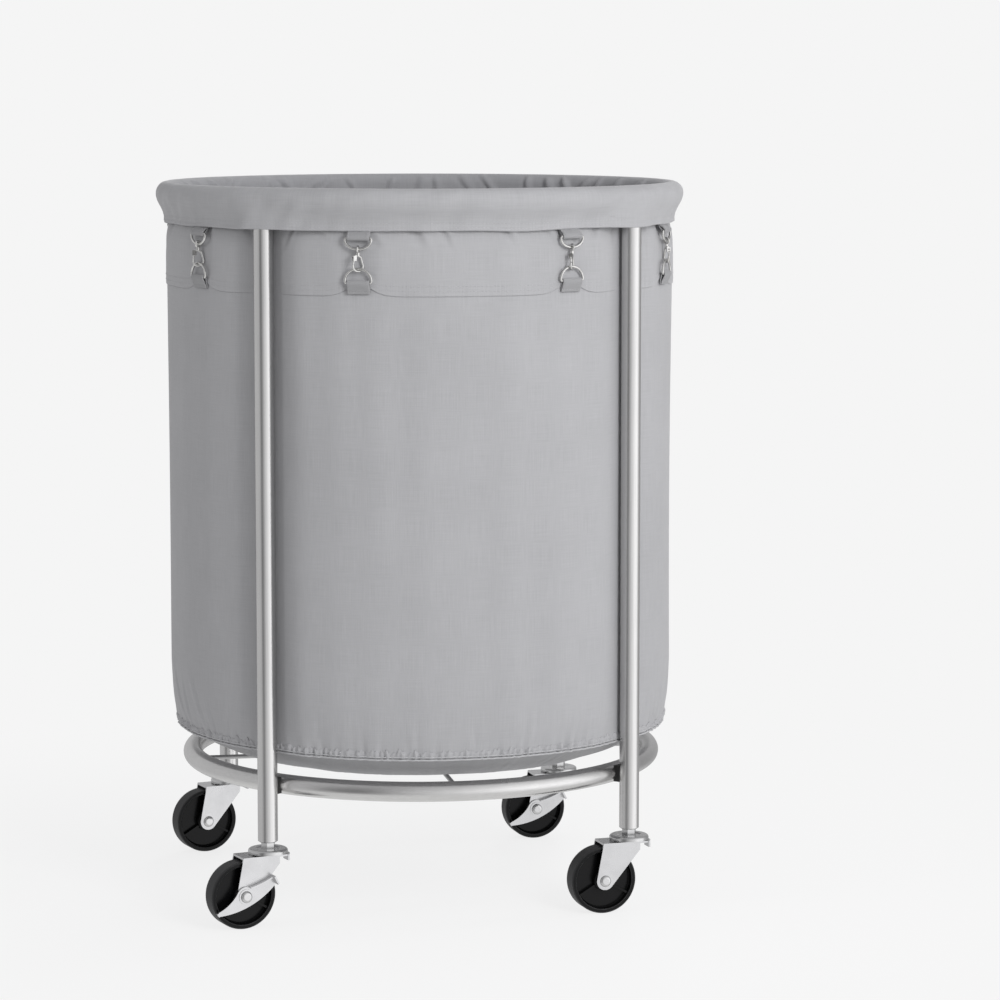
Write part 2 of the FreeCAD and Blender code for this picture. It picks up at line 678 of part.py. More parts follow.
def make_bag_wall():
    """Cloth hung inside the legs, pressed in where it passes behind each one."""
    top = "sizes.top_ring_height"
    outer = revolved("wall_outer", wall_corners("0", "sizes.seam_height", top))
    inner = revolved("wall_inner", wall_corners("sizes.cloth", "sizes.seam_height - 1",
                                                top + " + 1"))
    gap = "sizes.tube_radius + sizes.leg_room"
    outside = cut("wall_outside", outer, leg_columns(
        "wall_groove", gap, "0", "sizes.leg_top + 30"))
    inside = cut("wall_inside", inner, leg_columns(
        "wall_fold", gap + " + sizes.cloth", "0", "sizes.leg_top + 30"))
    keep(cut("wall", outside, [inside]), "bag_wall")


def make_bag_flap():
    """The cloth folded over the top ring, hanging outside the legs down to its hem."""
    gap = "sizes.tube_radius + 0.5"
    height = "sizes.top_ring_height"
    layers = []
    for name, inset, low in (("outer", "0", "sizes.hem_height"),
                             ("inner", "sizes.cloth", "sizes.hem_height - 1")):
        reach = "%s + sizes.cloth - %s" % (gap, inset)
        tall = "%s - (%s)" % (height, low)
        roll = primitive("Part::Torus", "flap_roll_" + name, Radius1="sizes.frame_circle",
                         Radius2=reach, Placement_Base_z=height)
        skirt = primitive("Part::Cylinder", "flap_skirt_" + name,
                          Radius="sizes.skirt_radius - " + inset, Height=tall,
                          Placement_Base_z=low)
        sleeves = leg_columns("flap_sleeve_" + name, reach, low, tall)
        layers.append(fuse("flap_" + name, [roll, skirt] + sleeves))
    keep(cut("flap", layers[0], [layers[1]]), "bag_flap")


def make_bag_base():
    """The dished base panel, resting on the crossed rods."""
    flat = "sizes.base_height"
    seam = "sizes.seam_height"
    dish = revolved("base_dish", [
        ("0", flat),
        ("sizes.base_flat", flat),
        ("sizes.base_flat + 33", flat + " + 7.5"),
        ("sizes.base_flat + 59", flat + " + 19"),
        ("sizes.wall_radius - 12.5", seam + " - 3.5"),
        ("sizes.wall_radius - 9.4", seam),
        ("sizes.wall_radius - 11.8", seam),
        ("sizes.wall_radius - 14.5", seam + " - 2.7"),
        ("sizes.base_flat + 57.6", flat + " + 20.6"),
        ("sizes.base_flat + 32.3", flat + " + 9.4"),
        ("sizes.base_flat - 0.4", flat + " + 2"),
        ("0", flat + " + 2")])
    gap = "sizes.tube_radius + sizes.leg_room"
    keep(cut("base", dish, leg_columns("base_notch", gap, "0", "300")), "bag_base")


# ---------------------------------------------------------------------- the clips


def size(name):
    return float(sizes.get(name))


def clip_place(index, radius, height, twist=0.0):
    """Local X runs round the bag, local Y points outward, local Z up."""
    angle = CLIP_ANGLES[index] + CLIP_DRIFT[index]
    bearing = math.radians(angle)
    base = FreeCAD.Vector(radius * math.cos(bearing), radius * math.sin(bearing), height)
    turn = FreeCAD.Rotation(FreeCAD.Vector(0, 0, 1), angle - 90 + twist)
    return FreeCAD.Placement(base, turn)


def spread(name, shape, radius, height, twist=0.0):
    """One copy of a shape at each clip, as one group of separate solids."""
    copies = []
    for index in range(len(CLIP_ANGLES)):
        copy = shape.copy()
        copy.Placement = clip_place(index, radius, height, twist).multiply(shape.Placement)
        copies.append(copy)
    made = doc.addObject("Part::Feature", name)
    made.Shape = Part.Compound(copies)
    return keep(made, name)


def wire_sweep(edges, radius):
    path = Part.Wire(edges)
    start = edges[0].valueAt(edges[0].FirstParameter)
    heading = edges[0].tangentAt(edges[0].FirstParameter)
    section = Part.Wire([Part.makeCircle(radius, start, heading)])
    return path.makePipeShell([section], True, False)


def vector(x, z):
    return FreeCAD.Vector(x, 0, z)


def d_ring(sign, depth):
    """A D of round wire about its straight bar; the bow hangs down for sign -1."""
    half = size("ring_half_width")
    corner = 2.0
    drop = sign * corner
    oval = Part.Ellipse(FreeCAD.Vector(), half, depth - corner)
    bow = Part.ArcOfEllipse(oval, 0, math.pi).toShape()
    lay = FreeCAD.Rotation(FreeCAD.Vector(1, 0, 0), 90 * sign)
    bow.Placement = FreeCAD.Placement(vector(0, drop), lay)
    inset = half - corner
    mid = corner * math.sqrt(0.5)
    right = Part.Arc(vector(half, drop), vector(inset + mid, drop - sign * mid),
                     vector(inset, 0)).toShape()
    bar = Part.LineSegment(vector(inset, 0), vector(-inset, 0)).toShape()
    left = Part.Arc(vector(-inset, 0), vector(-inset - mid, drop - sign * mid),
                    vector(-half, drop)).toShape()
    return wire_sweep([bar, left, bow, right], size("ring_wire"))


def tab(corners):
    """A folded webbing tab: its outline (out, up) run across its width, round the bar."""
    half = size("tab_width") / 2
    points = [FreeCAD.Vector(-half, out, up) for out, up in corners]
    face = Part.Face(Part.makePolygon(points + points[:1]))
    block = face.extrude(FreeCAD.Vector(2 * half, 0, 0))
    hole = Part.makeCylinder(size("ring_wire"), 4 * half,
                             FreeCAD.Vector(-2 * half, 0, 0),
                             FreeCAD.Vector(1, 0, 0))
    return block.cut(hole)


def gate_pivot():
    return vector(4.4, -10.2)


def hook_body():
    """A wire snap hook, its eye round the upper D-ring, open where the gate closes it."""
    wire = size("hook_wire")
    eye = Part.makeTorus(3.1, wire, FreeCAD.Vector(), FreeCAD.Vector(1, 0, 0))
    eye.rotate(FreeCAD.Vector(), FreeCAD.Vector(0, 0, 1), -size("hook_twist"))
    barrel = Part.makeCylinder(2.1, 3.4, vector(0, -6.9))
    left = vector(-HOOK_HALF, HOOK_LOW)
    right = vector(HOOK_HALF, HOOK_LOW)
    neck = vector(0, -6.6)
    shoulder = vector(-3.4, -8.6)
    pivot = gate_pivot()
    tip = Part.LineSegment(right + vector(0, NOSE), right).toShape()
    bottom = Part.Arc(right, vector(0, HOOK_LOW - HOOK_HALF), left).toShape()
    pieces = [eye, barrel, wire_sweep([tip, bottom], wire)]
    for start, end in ((left, shoulder), (shoulder, neck), (neck, pivot + vector(0, 3.3))):
        pieces.append(wire_sweep([Part.LineSegment(start, end).toShape()], wire))
    for joint in (left, shoulder):
        pieces.append(Part.makeSphere(wire, joint))
    pieces.append(Part.makeBox(3.6, 4.2, 1.4, pivot + FreeCAD.Vector(-1.8, -2.1, 2.1)))
    for face in (-2.1, 1.4):
        cheek = pivot + FreeCAD.Vector(-1.8, face, -1.8)
        pieces.append(Part.makeBox(3.6, 0.7, 4.2, cheek))
    across = FreeCAD.Vector(0, 1, 0)
    pin_end = pivot + FreeCAD.Vector(0, -2, 0)
    pieces.append(Part.makeCylinder(GATE_PIN, 4, pin_end, across))
    return pieces[0].multiFuse(pieces[1:]).removeSplitter()


def hook_gate():
    """The sprung bar between the pivot pin and the hook's nose."""
    pivot = gate_pivot()
    nose = vector(HOOK_HALF, HOOK_LOW + NOSE + size("gate_gap"))
    along = (nose - pivot).normalize()
    bore = GATE_PIN + size("running_gap")
    eye = Part.makeCylinder(1.7, 2.2, pivot + FreeCAD.Vector(0, -1.1, 0),
                            FreeCAD.Vector(0, 1, 0))
    bar = Part.makeCylinder(1.0, (nose - pivot).Length - 1.2, pivot + along * 1.2, along)
    pin = Part.makeCylinder(bore, 6, pivot + FreeCAD.Vector(0, -3, 0),
                            FreeCAD.Vector(0, 1, 0))
    return eye.fuse(bar).cut(pin).removeSplitter()


def make_clips():
    radius = size("clip_circle")
    upper = size("upper_bar_height")
    lower = size("lower_bar_height")
    spread("d_rings_upper", d_ring(-1, size("upper_ring_depth")), radius, upper)
    spread("d_rings_lower", d_ring(1, size("lower_ring_depth")), radius, lower)
    hem = size("hem_height") - 0.1 - upper
    spread("bag_tabs_upper", tab([
        (-6.0, hem), (-4.6, hem), (2.6, 0.6), (2.6, -2.8), (-2.6, -2.8), (-2.6, 0.0)]),
        radius, upper)
    spread("bag_tabs_lower", tab([
        (-4.8, -12.5), (-3.4, -12.5), (2.6, -3.6), (2.6, 2.6), (-2.6, 2.6), (-4.8, -3.5)]),
        radius, lower)
    eye_height = upper - size("upper_ring_depth")
    twist = size("hook_twist")
    spread("snap_hooks", hook_body(), radius, eye_height, twist)
    gate = hook_gate()
    for index in range(len(CLIP_ANGLES)):
        made = doc.addObject("Part::Feature", "gate_%d" % (index + 1))
        made.Shape = gate.copy()
        made.Placement = clip_place(index, radius, eye_height, twist)
        keep(made, "hook_gate_%d" % (index + 1))


def check_and_write():
    doc.recompute()
    for obj in doc.Objects:
        if "Invalid" in obj.State or "Error" in obj.State:
            raise RuntimeError("%s failed: %s %s" % (obj.Label, obj.State, obj.getStatusString()))
    for obj in subparts:
        if obj.Shape.isNull() or not obj.Shape.isValid():
            raise RuntimeError("%s has no valid shape" % obj.Label)
        if not obj.Shape.Solids:
            raise RuntimeError("%s has no solid" % obj.Label)
    os.makedirs("parts", exist_ok=True)
    for obj in subparts:
        obj.Shape.exportStep(os.path.join("parts", obj.Label + ".step"))
    print(len(subparts), "sub-parts written")


make_top_ring()
make_bottom_ring()
make_legs()
make_leg_ends()
make_ring_joints()
for place_name in CORNERS:
    make_stem(place_name)
    make_disc(place_name)
    make_fork(place_name)
    make_axle(place_name)
    make_wheel(place_name)
    make_bushing(place_name)
for place_name in BRAKED:
    make_brake_lever(place_name)
make_balls()
make_bag_wall()
make_bag_flap()
make_bag_base()
make_clips()
check_and_write()
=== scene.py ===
"""A round rolling laundry hamper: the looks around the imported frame, casters and clips.

Metres, +Z up, front towards -Y. The bag, its base, its webbing tabs and its seams are
made here. The metal and plastic parts are the CAD nodes with the materials below.
"""

import json
import math

import bpy
import numpy as np
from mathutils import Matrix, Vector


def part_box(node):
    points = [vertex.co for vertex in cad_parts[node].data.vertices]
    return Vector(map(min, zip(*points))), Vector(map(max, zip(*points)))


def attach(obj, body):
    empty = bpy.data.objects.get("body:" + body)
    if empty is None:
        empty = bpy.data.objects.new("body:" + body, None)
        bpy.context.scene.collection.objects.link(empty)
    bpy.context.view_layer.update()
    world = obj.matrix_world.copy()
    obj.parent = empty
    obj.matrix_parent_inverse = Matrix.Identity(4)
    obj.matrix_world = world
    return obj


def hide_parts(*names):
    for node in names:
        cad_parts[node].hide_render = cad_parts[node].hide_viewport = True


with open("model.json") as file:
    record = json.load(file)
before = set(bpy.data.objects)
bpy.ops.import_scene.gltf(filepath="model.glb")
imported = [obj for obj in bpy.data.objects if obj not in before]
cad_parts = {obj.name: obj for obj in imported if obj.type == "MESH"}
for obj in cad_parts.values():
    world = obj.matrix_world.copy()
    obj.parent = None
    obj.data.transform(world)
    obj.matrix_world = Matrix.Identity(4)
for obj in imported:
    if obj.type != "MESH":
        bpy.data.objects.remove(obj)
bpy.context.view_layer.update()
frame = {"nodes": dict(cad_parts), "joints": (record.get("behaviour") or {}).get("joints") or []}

# ------------------------------------------------------ places taken from the frame

BODY = "root"
LEG_NAMES = ("front_left", "front_right", "rear_left", "rear_right")
LEG_BOXES = [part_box("leg_" + name) for name in LEG_NAMES]
LEG_PLACES = [(low + high) / 2 for low, high in LEG_BOXES]
LEG_BEARINGS = np.array([math.atan2(place.y, place.x) for place in LEG_PLACES])
LEG_CIRCLE = math.hypot(LEG_PLACES[0].x, LEG_PLACES[0].y)
LEG_RADIUS = (LEG_BOXES[0][1].x - LEG_BOXES[0][0].x) / 2

WALL_LOW, WALL_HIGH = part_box("bag_wall")
SEAM_Z = WALL_LOW.z
WALL_RADIUS = WALL_HIGH.x
RING_LOW, RING_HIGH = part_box("top_ring")
RING_Z = (RING_LOW.z + RING_HIGH.z) / 2
RING_CIRCLE = RING_HIGH.x - (RING_HIGH.z - RING_LOW.z) / 2
HEM_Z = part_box("bag_flap")[0].z
BASE_LOW_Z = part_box("bag_base")[0].z

# A gate's hinge pin is this far round from the middle of its clip.
GATE_ASIDE = math.radians(0.63)
CLIP_BEARINGS = [
    math.atan2(joint["pos_m"][1], joint["pos_m"][0]) + GATE_ASIDE
    for joint in frame["joints"]
    if joint["name"].startswith("gate_")
]
RING_WIRE_RADIUS = 0.0014
UPPER_BAR_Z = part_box("d_rings_upper")[1].z - RING_WIRE_RADIUS
LOWER_BAR_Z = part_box("d_rings_lower")[0].z + RING_WIRE_RADIUS
CLIP_CIRCLE = 0.293
TAB_WIDTH = 0.025

# ------------------------------------------------------ sizes of the cloth

# A "run" is a length along the bag's cut, from the bottom seam up, over the ring and
# down to the hem.
CLOTH = 0.0012
BAG_COLUMNS = 720
BASE_COLUMNS = 480
SEAM_COLUMNS = 1440
SEAM_RUN = 0.0005
BACK_SEAM = math.pi / 2
WALL_DENT_WIDTH = math.radians(7.0)
LEG_GAP = 0.0022
CLIP_DENT_HALF = 0.017
BEHIND_CLIPS = WALL_RADIUS - 0.0012
BAND_RUN = 0.5035
BAND_STEP = 0.0013
BAND_LIFT = 0.0085
BAND_LIFT_REACH = 0.016
LIFTED_HALF = 0.011
LIFT_FALL = 0.012
ROLL_RADIUS = 0.0123
DEEPEST_ROLL_DENT = 0.0009
FLAP_BULGE = 0.2996
FLAP_BULGE_WIDTH = math.radians(9.5)
HEM_RADIUS = 0.0008
HEM_FOLD = 0.012
TAB_CLOTH = 0.0011
STITCH_RADIUS = 0.00028


# ------------------------------------------------------ small tools

def smoothstep(low, high, value):
    share = np.clip((value - low) / (high - low), 0, 1)
    return share * share * (3 - 2 * share)


def turn_between(angle, bearing):
    """The signed angle from a bearing, between -pi and pi."""
    return (angle - bearing + math.pi) % (2 * math.pi) - math.pi


def ripple(angle, seed, slowest, fastest, terms):
    """An irregular wave round the bag that closes on itself, mostly between -1 and 1.

    It adds up so many sine waves, each with a whole number of turns round the bag.
    """
    draw = np.random.default_rng(seed)
    turns = draw.integers(slowest, fastest + 1, terms)
    starts = draw.uniform(0, 2 * math.pi, terms)
    waves = [np.sin(count * angle + start) for count, start in zip(turns, starts)]
    return sum(waves) / math.sqrt(terms / 2)


def smooth_line(points, per_span):
    """A Catmull-Rom line through the points, with so many steps between two of them."""
    knots = np.array(points, float)
    knots = np.vstack([2 * knots[0] - knots[1], knots, 2 * knots[-1] - knots[-2]])
    line = []
    for index in range(1, len(knots) - 2):
        before, start, end, after = knots[index - 1:index + 3]
        for share in np.arange(per_span) / per_span:
            line.append(
                start
                + 0.5 * share * (end - before)
                + share ** 2 * (before - 2.5 * start + 2 * end - 0.5 * after)
                + share ** 3 * (1.5 * start - 1.5 * end + 0.5 * after - 0.5 * before)
            )
    line.append(knots[-2])
    return np.array(line)


def new_piece(name, points, faces, material):
    mesh = bpy.data.meshes.new(name)
    mesh.from_pydata([tuple(point) for point in points], [], faces)
    mesh.shade_smooth()
    mesh.materials.append(material)
    piece = bpy.data.objects.new(name, mesh)
    bpy.context.scene.collection.objects.link(piece)
    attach(piece, BODY)
    return piece


def grid_faces(rows, columns, first=0, closed=True):
    """Quads of a grid whose points run row by row, from the point numbered first.

    A closed grid joins its last column to its first.
    """
    faces = []
    for row in range(rows - 1):
        for column in range(columns if closed else columns - 1):
            following = (column + 1) % columns
            low = first + row * columns
            high = low + columns
            faces.append(
                (low + column, low + following, high + following, high + column))
    return faces


def apply_modifiers(piece):
    """Bakes the piece's modifiers into its mesh."""
    bpy.context.view_layer.update()
    shaped = piece.evaluated_get(bpy.context.evaluated_depsgraph_get())
    final = bpy.data.meshes.new_from_object(shaped)
    piece.modifiers.clear()
    piece.data = final


def thicken(piece, thickness):
    """Gives a sheet its thickness, half on each side."""
    solid = piece.modifiers.new("thickness", "SOLIDIFY")
    solid.thickness = thickness
    solid.offset = 0.0
    solid.use_even_offset = False
    apply_modifiers(piece)


# ------------------------------------------------------ materials

class Tree:
    """Short ways to add nodes to a shader tree."""

    def __init__(self, owner):
        owner.use_nodes = True
        self.tree = owner.node_tree

    def add(self, kind, **settings):
        node = self.tree.nodes.new(kind)
        for key, value in settings.items():
            setattr(node, key, value)
        return node

    def link(self, source, target):
        self.tree.links.new(source, target)

    def feed(self, value, socket):
        if isinstance(value, bpy.types.NodeSocket):
            self.link(value, socket)
        else:
            socket.default_value = value

    def math(self, operation, *values):
        node = self.add("ShaderNodeMath", operation=operation)
        for value, socket in zip(values, node.inputs):
            self.feed(value, socket)
        return node.outputs[0]

    def blend(self, first, first_share, second, second_share):
        """The sum of two values, each times its share."""
        return self.math(
            "ADD", self.math("MULTIPLY", first, first_share),
            self.math("MULTIPLY", second, second_share))

    def noise(self, vector, scale, detail=2.0, roughness=0.5):
        node = self.add("ShaderNodeTexNoise")
        self.link(vector, node.inputs["Vector"])
        node.inputs["Scale"].default_value = scale
        node.inputs["Detail"].default_value = detail
        node.inputs["Roughness"].default_value = roughness
        return node.outputs["Fac"]

    def vector(self, operation, first, second=None, output="Vector"):
        node = self.add("ShaderNodeVectorMath", operation=operation)
        self.feed(first, node.inputs[0])
        if second is not None:
            self.feed(second, node.inputs[1])
        return node.outputs[output]

    def stretch(self, vector, scale):
        return self.vector("MULTIPLY", vector, scale)

    def split(self, vector):
        node = self.add("ShaderNodeSeparateXYZ")
        self.link(vector, node.inputs[0])
        return node.outputs

    def spread(self, value, low, high, start=0.0, end=1.0, kind="LINEAR"):
        """Maps a value of start to end onto low to high."""
        node = self.add("ShaderNodeMapRange", interpolation_type=kind)
        self.link(value, node.inputs["Value"])
        for socket, bound in zip(
                ("From Min", "From Max", "To Min", "To Max"), (start, end, low, high)):
            node.inputs[socket].default_value = bound
        return node.outputs["Result"]

    def mix(self, share, first, second, blend="MIX"):
        node = self.add("ShaderNodeMix", data_type="RGBA", blend_type=blend)
        self.link(share, node.inputs["Factor"])
        self.link(first, node.inputs["A"])
        node.inputs["B"].default_value = (*second, 1)
        return node.outputs["Result"]

    def emission(self, kind, color, strength):
        """A light-giving shader: an emission, or a world's background."""
        node = self.add(kind)
        color = (*color, 1) if isinstance(color, tuple) else color
        self.feed(color, node.inputs["Color"])
        self.feed(strength, node.inputs["Strength"])
        return node.outputs[0]

    def either(self, share, first, second):
        node = self.add("ShaderNodeMixShader")
        for value, socket in zip((share, first, second), node.inputs):
            self.link(value, socket)
        return node.outputs[0]

    def ramp(self, value, stops):
        node = self.add("ShaderNodeValToRGB")
        self.link(value, node.inputs["Fac"])
        ramp = node.color_ramp
        while len(ramp.elements) < len(stops):
            ramp.elements.new(0.5)
        for element, (place, color) in zip(ramp.elements, stops):
            element.position = place
            element.color = (*color, 1)
        return node.outputs["Color"]

    def bump(self, height, distance, strength=1.0, below=None):
        node = self.add("ShaderNodeBump")
        self.link(height, node.inputs["Height"])
        node.inputs["Distance"].default_value = distance
        node.inputs["Strength"].default_value = strength
        if below is not None:
            self.link(below, node.inputs["Normal"])
        return node.outputs["Normal"]

    def place(self, kind="Object"):
        return self.add("ShaderNodeTexCoord").outputs[kind]


class Nodes(Tree):
    """A new material with one principled shader."""

    def __init__(self, name):
        self.material = bpy.data.materials.new(name)
        super().__init__(self.material)
        self.shader = self.tree.nodes["Principled BSDF"]

    def set(self, **values):
        names = {
            "color": "Base Color", "metallic": "Metallic", "roughness": "Roughness",
            "normal": "Normal", "sheen": "Sheen Weight",
            "sheen_roughness": "Sheen Roughness", "specular": "Specular IOR Level",
        }
        for key, value in values.items():
            self.feed(value, self.shader.inputs[names[key]])


def shade(tone, share):
    return tuple(part * share for part in tone)


def round_the_bag(nodes):
    """Cloth coordinates in metres: along the cloth, then up it. They part at the back."""
    place = nodes.split(nodes.place())
    away = nodes.math("MULTIPLY", place["Y"], -1.0)
    bearing = nodes.math("ARCTAN2", place["X"], away)
    along = nodes.math("MULTIPLY", bearing, WALL_RADIUS)
    joined = nodes.add("ShaderNodeCombineXYZ")
    nodes.link(along, joined.inputs[0])
    nodes.link(place["Z"], joined.inputs[1])
    return joined.outputs[0]


def weave_height(nodes, cloth_place, pitch):
    """Over and under threads of a plain weave, a little irregular."""
    wander = nodes.noise(cloth_place, 140, 2.0)
    place = nodes.split(cloth_place)
    turns = 2 * math.pi / pitch
    waves = []
    for axis in ("X", "Y"):
        run = nodes.math("MULTIPLY", place[axis], turns)
        run = nodes.math("ADD", run, nodes.math("MULTIPLY", wander, 4.0))
        waves.append(nodes.math("SINE", run))
    crossing = nodes.math("MULTIPLY", waves[0], waves[1])
    return nodes.math("MULTIPLY_ADD", crossing, 0.5, 0.5)


def inward_facing(nodes):
    """0 where the cloth faces out of the bag, 1 where it faces the bag's axis: the mask of the
    painted inside shade.
    """
    heading = nodes.vector("NORMALIZE", nodes.stretch(nodes.place(), (1, 1, 0)))
    facing = nodes.vector("DOT_PRODUCT", nodes.place("Normal"), heading, "Value")
    return nodes.spread(facing, 0.0, 1.0, 0.0, -0.9)


def canvas(name, tone, flat=False):
    """Grey woven polyester: slubs both ways, soft mottling, dull sheen, painted shade on the
    inner side.

    The flat kind, for the base, has no painted inside shade and quieter slubs.
    """
    nodes = Nodes(name)
    cloth_place = nodes.place() if flat else round_the_bag(nodes)
    warp = nodes.noise(nodes.stretch(cloth_place, (1500, 28, 1)), 1.0, 3.0, 0.6)
    weft = nodes.noise(nodes.stretch(cloth_place, (28, 1500, 1)), 1.0, 3.0, 0.6)
    mottle = nodes.noise(cloth_place, 9.0, 4.0, 0.55)
    slub = nodes.blend(warp, 0.55, weft, 0.45)
    mixed = nodes.blend(slub, 0.75, mottle, 0.25)
    contrast = 0.5 if flat else 1.0
    dark = shade(tone, 1 - 0.14 * contrast)
    light = shade(tone, 1 + 0.12 * contrast)
    color = nodes.ramp(mixed, [(0.30, dark), (0.5, tone), (0.70, light)])
    if not flat:
        # Painted shade: the cloth is darkened where it faces into the bag.
        color = nodes.mix(inward_facing(nodes), color, INSIDE_PAINTED_SHADE, "MULTIPLY")
    weave = weave_height(nodes, cloth_place, WEAVE_PITCH)
    fine = nodes.bump(weave, 0.00010, 0.4)
    thread = nodes.bump(slub, 0.00035, 0.5 * contrast, fine)
    creased = nodes.noise(nodes.stretch(cloth_place, (26, 9, 1)), 1.0, 3.0, 0.5)
    soft = nodes.bump(creased, 0.0022, 0.5 * contrast, thread)
    nodes.set(
        color=color,
        roughness=nodes.spread(mixed, 0.78, 0.92),
        normal=soft,
        sheen=0.22,
        sheen_roughness=0.45,
        specular=0.25,
    )
    return nodes.material


def webbing(name, tone):
    """Ribbed strap: raised ribs across it, of a darker, slightly glossy yarn."""
    nodes = Nodes(name)
    place = round_the_bag(nodes)
    ribs = nodes.add("ShaderNodeTexWave", wave_type="BANDS", bands_direction="Y")
    nodes.link(place, ribs.inputs["Vector"])
    ribs.inputs["Scale"].default_value = 340
    ribs.inputs["Distortion"].default_value = 1.2
    ribs.inputs["Detail"].default_value = 2
    yarn = nodes.noise(nodes.stretch(place, (900, 900, 900)), 1.0, 3.0)
    mixed = nodes.math("MULTIPLY_ADD", ribs.outputs["Fac"], 0.5, 0.2)
    mixed = nodes.math("ADD", mixed, nodes.math("MULTIPLY", yarn, 0.3))
    color = nodes.ramp(mixed, [(0.25, shade(tone, 0.72)), (0.85, shade(tone, 1.15))])
    normal = nodes.bump(mixed, 0.0005, 0.8)
    nodes.set(
        color=color, roughness=nodes.spread(yarn, 0.6, 0.8), normal=normal,
        sheen=0.15, sheen_roughness=0.4, specular=0.35,
    )
    return nodes.material


def thread(name, tone):
    """Twisted sewing thread."""
    nodes = Nodes(name)
    place = nodes.place()
    twist = nodes.noise(nodes.stretch(place, (2200, 2200, 2200)), 1.0, 2.0)
    color = nodes.ramp(twist, [(0.3, shade(tone, 0.8)), (0.7, shade(tone, 1.15))])
    nodes.set(
        color=color, roughness=nodes.spread(twist, 0.45, 0.65),
        normal=nodes.bump(twist, 0.0002, 0.7), sheen=0.2, sheen_roughness=0.4,
    )
    return nodes.material


def satin_steel(name, tone, grain, roughness):
    """Drawn tube with a satin finish: grain along it, faint smears and tiny pits."""
    nodes = Nodes(name)
    place = nodes.place()
    streaks = nodes.noise(nodes.stretch(place, grain), 1.0, 3.0, 0.6)
    smears = nodes.noise(nodes.stretch(place, (11, 11, 6)), 1.0, 4.0, 0.6)
    pits = nodes.noise(place, 900, 2.0)
    mixed = nodes.blend(streaks, 0.5, smears, 0.5)
    color = nodes.ramp(mixed, [(0.3, shade(tone, 0.90)), (0.7, shade(tone, 1.07))])
    grained = nodes.bump(streaks, 0.00003, 0.5)
    pitted = nodes.bump(pits, 0.00002, 0.4, grained)
    nodes.set(
        color=color, metallic=1.0, normal=pitted,
        roughness=nodes.spread(smears, roughness - 0.05, roughness + 0.06),
    )
    return nodes.material


def bright_zinc(name, tone, roughness):
    """Zinc-plated steel: soft dents, and duller patches with a trace of spangle."""
    nodes = Nodes(name)
    place = nodes.place()
    spangle = nodes.add("ShaderNodeTexVoronoi", feature="F1")
    nodes.link(place, spangle.inputs["Vector"])
    spangle.inputs["Scale"].default_value = 420
    cells = nodes.add("ShaderNodeSeparateColor")
    nodes.link(spangle.outputs["Color"], cells.inputs[0])
    dents = nodes.noise(place, 60, 1.0)
    stains = nodes.noise(place, 38, 4.0, 0.6)
    color = nodes.ramp(stains, [(0.32, shade(tone, 0.93)), (0.62, shade(tone, 1.04))])
    pressed = nodes.bump(dents, 0.0004, 0.2)
    dull = nodes.blend(cells.outputs[0], 0.06, stains, 0.9)
    nodes.set(
        color=color, metallic=1.0, normal=pressed,
        roughness=nodes.spread(dull, roughness - 0.03, roughness + 0.05),
    )
    return nodes.material


def nickel_wire(name, tone):
    """Bent, nickel-plated wire with draw marks."""
    nodes = Nodes(name)
    place = nodes.place()
    marks = nodes.noise(place, 700, 3.0)
    worn = nodes.noise(place, 160, 2.0)
    color = nodes.ramp(worn, [(0.35, shade(tone, 0.82)), (0.6, tone)])
    nodes.set(
        color=color, metallic=1.0, normal=nodes.bump(marks, 0.00004, 0.5),
        roughness=nodes.spread(worn, 0.10, 0.22),
    )
    return nodes.material


def moulded_plastic(name, tone, roughness, scuff, specular=0.5):
    """Moulded plastic: spark-eroded grain, faint flow mottling and dusty scuffs."""
    nodes = Nodes(name)
    place = nodes.place()
    grain = nodes.noise(place, 1600, 2.0)
    flow = nodes.noise(place, 60, 4.0, 0.6)
    scuffed = nodes.noise(place, 240, 5.0, 0.65)
    color = nodes.ramp(scuffed, [(0.45, tone), (0.75, scuff)])
    grained = nodes.bump(grain, 0.00005, 0.5)
    flowed = nodes.bump(flow, 0.0004, 0.15, grained)
    nodes.set(
        color=color, normal=flowed, specular=specular,
        roughness=nodes.spread(scuffed, roughness - 0.06, roughness + 0.14),
    )
    return nodes.material


# Radii on the wheel.
TREAD_STARTS = 0.0355
TREAD_ENDS = 0.0371
# A painted glint: a thin light ring at this radius, a highlight painted into the colour.
GLINT_RING_RADIUS = 0.0330
GLINT_RING_HALF_WIDTH = 0.0006


def wheel_plastic(name, axle, axis):
    """Black wheel: a semi-gloss body, a rough tread lightened by dust and painted reflection, a
    painted glint on the rim edge.
    """
    nodes = Nodes(name)
    place = nodes.place()
    swept = nodes.vector("CROSS_PRODUCT", nodes.vector("SUBTRACT", place, axle), axis)
    reach = nodes.vector("LENGTH", swept, output="Value")
    tread = nodes.spread(reach, 0.0, 1.0, TREAD_STARTS, TREAD_ENDS)
    scuffed = nodes.noise(place, 260, 5.0, 0.65)
    # The tread is lighter: dust, and painted reflection of grazing light.
    dust_and_glint = nodes.math("MULTIPLY", tread, nodes.spread(scuffed, 0.35, 1.0))
    # Painted highlight: a light ring round the rim's edge.
    edge = nodes.math("ABSOLUTE", nodes.math("SUBTRACT", reach, GLINT_RING_RADIUS))
    edge = nodes.math("SUBTRACT", 1.0, nodes.math("DIVIDE", edge, GLINT_RING_HALF_WIDTH))
    edge = nodes.math("MULTIPLY", edge, nodes.spread(scuffed, 0.4, 1.2))
    dust_and_glint = nodes.math("ADD", dust_and_glint, nodes.math("MAXIMUM", edge, 0.0))
    color = nodes.ramp(dust_and_glint, [
        (0.0, (0.0035, 0.0035, 0.0038)), (0.75, (0.040, 0.040, 0.041)),
        (1.0, (0.16, 0.16, 0.163)),
    ])
    grain = nodes.bump(nodes.noise(place, 1500, 2.0), 0.00005, 0.5)
    nodes.set(
        color=color, normal=nodes.bump(nodes.noise(place, 70, 3.0), 0.0004, 0.15, grain),
        roughness=nodes.spread(dust_and_glint, 0.24, 0.6), specular=0.18,
    )
    return nodes.material


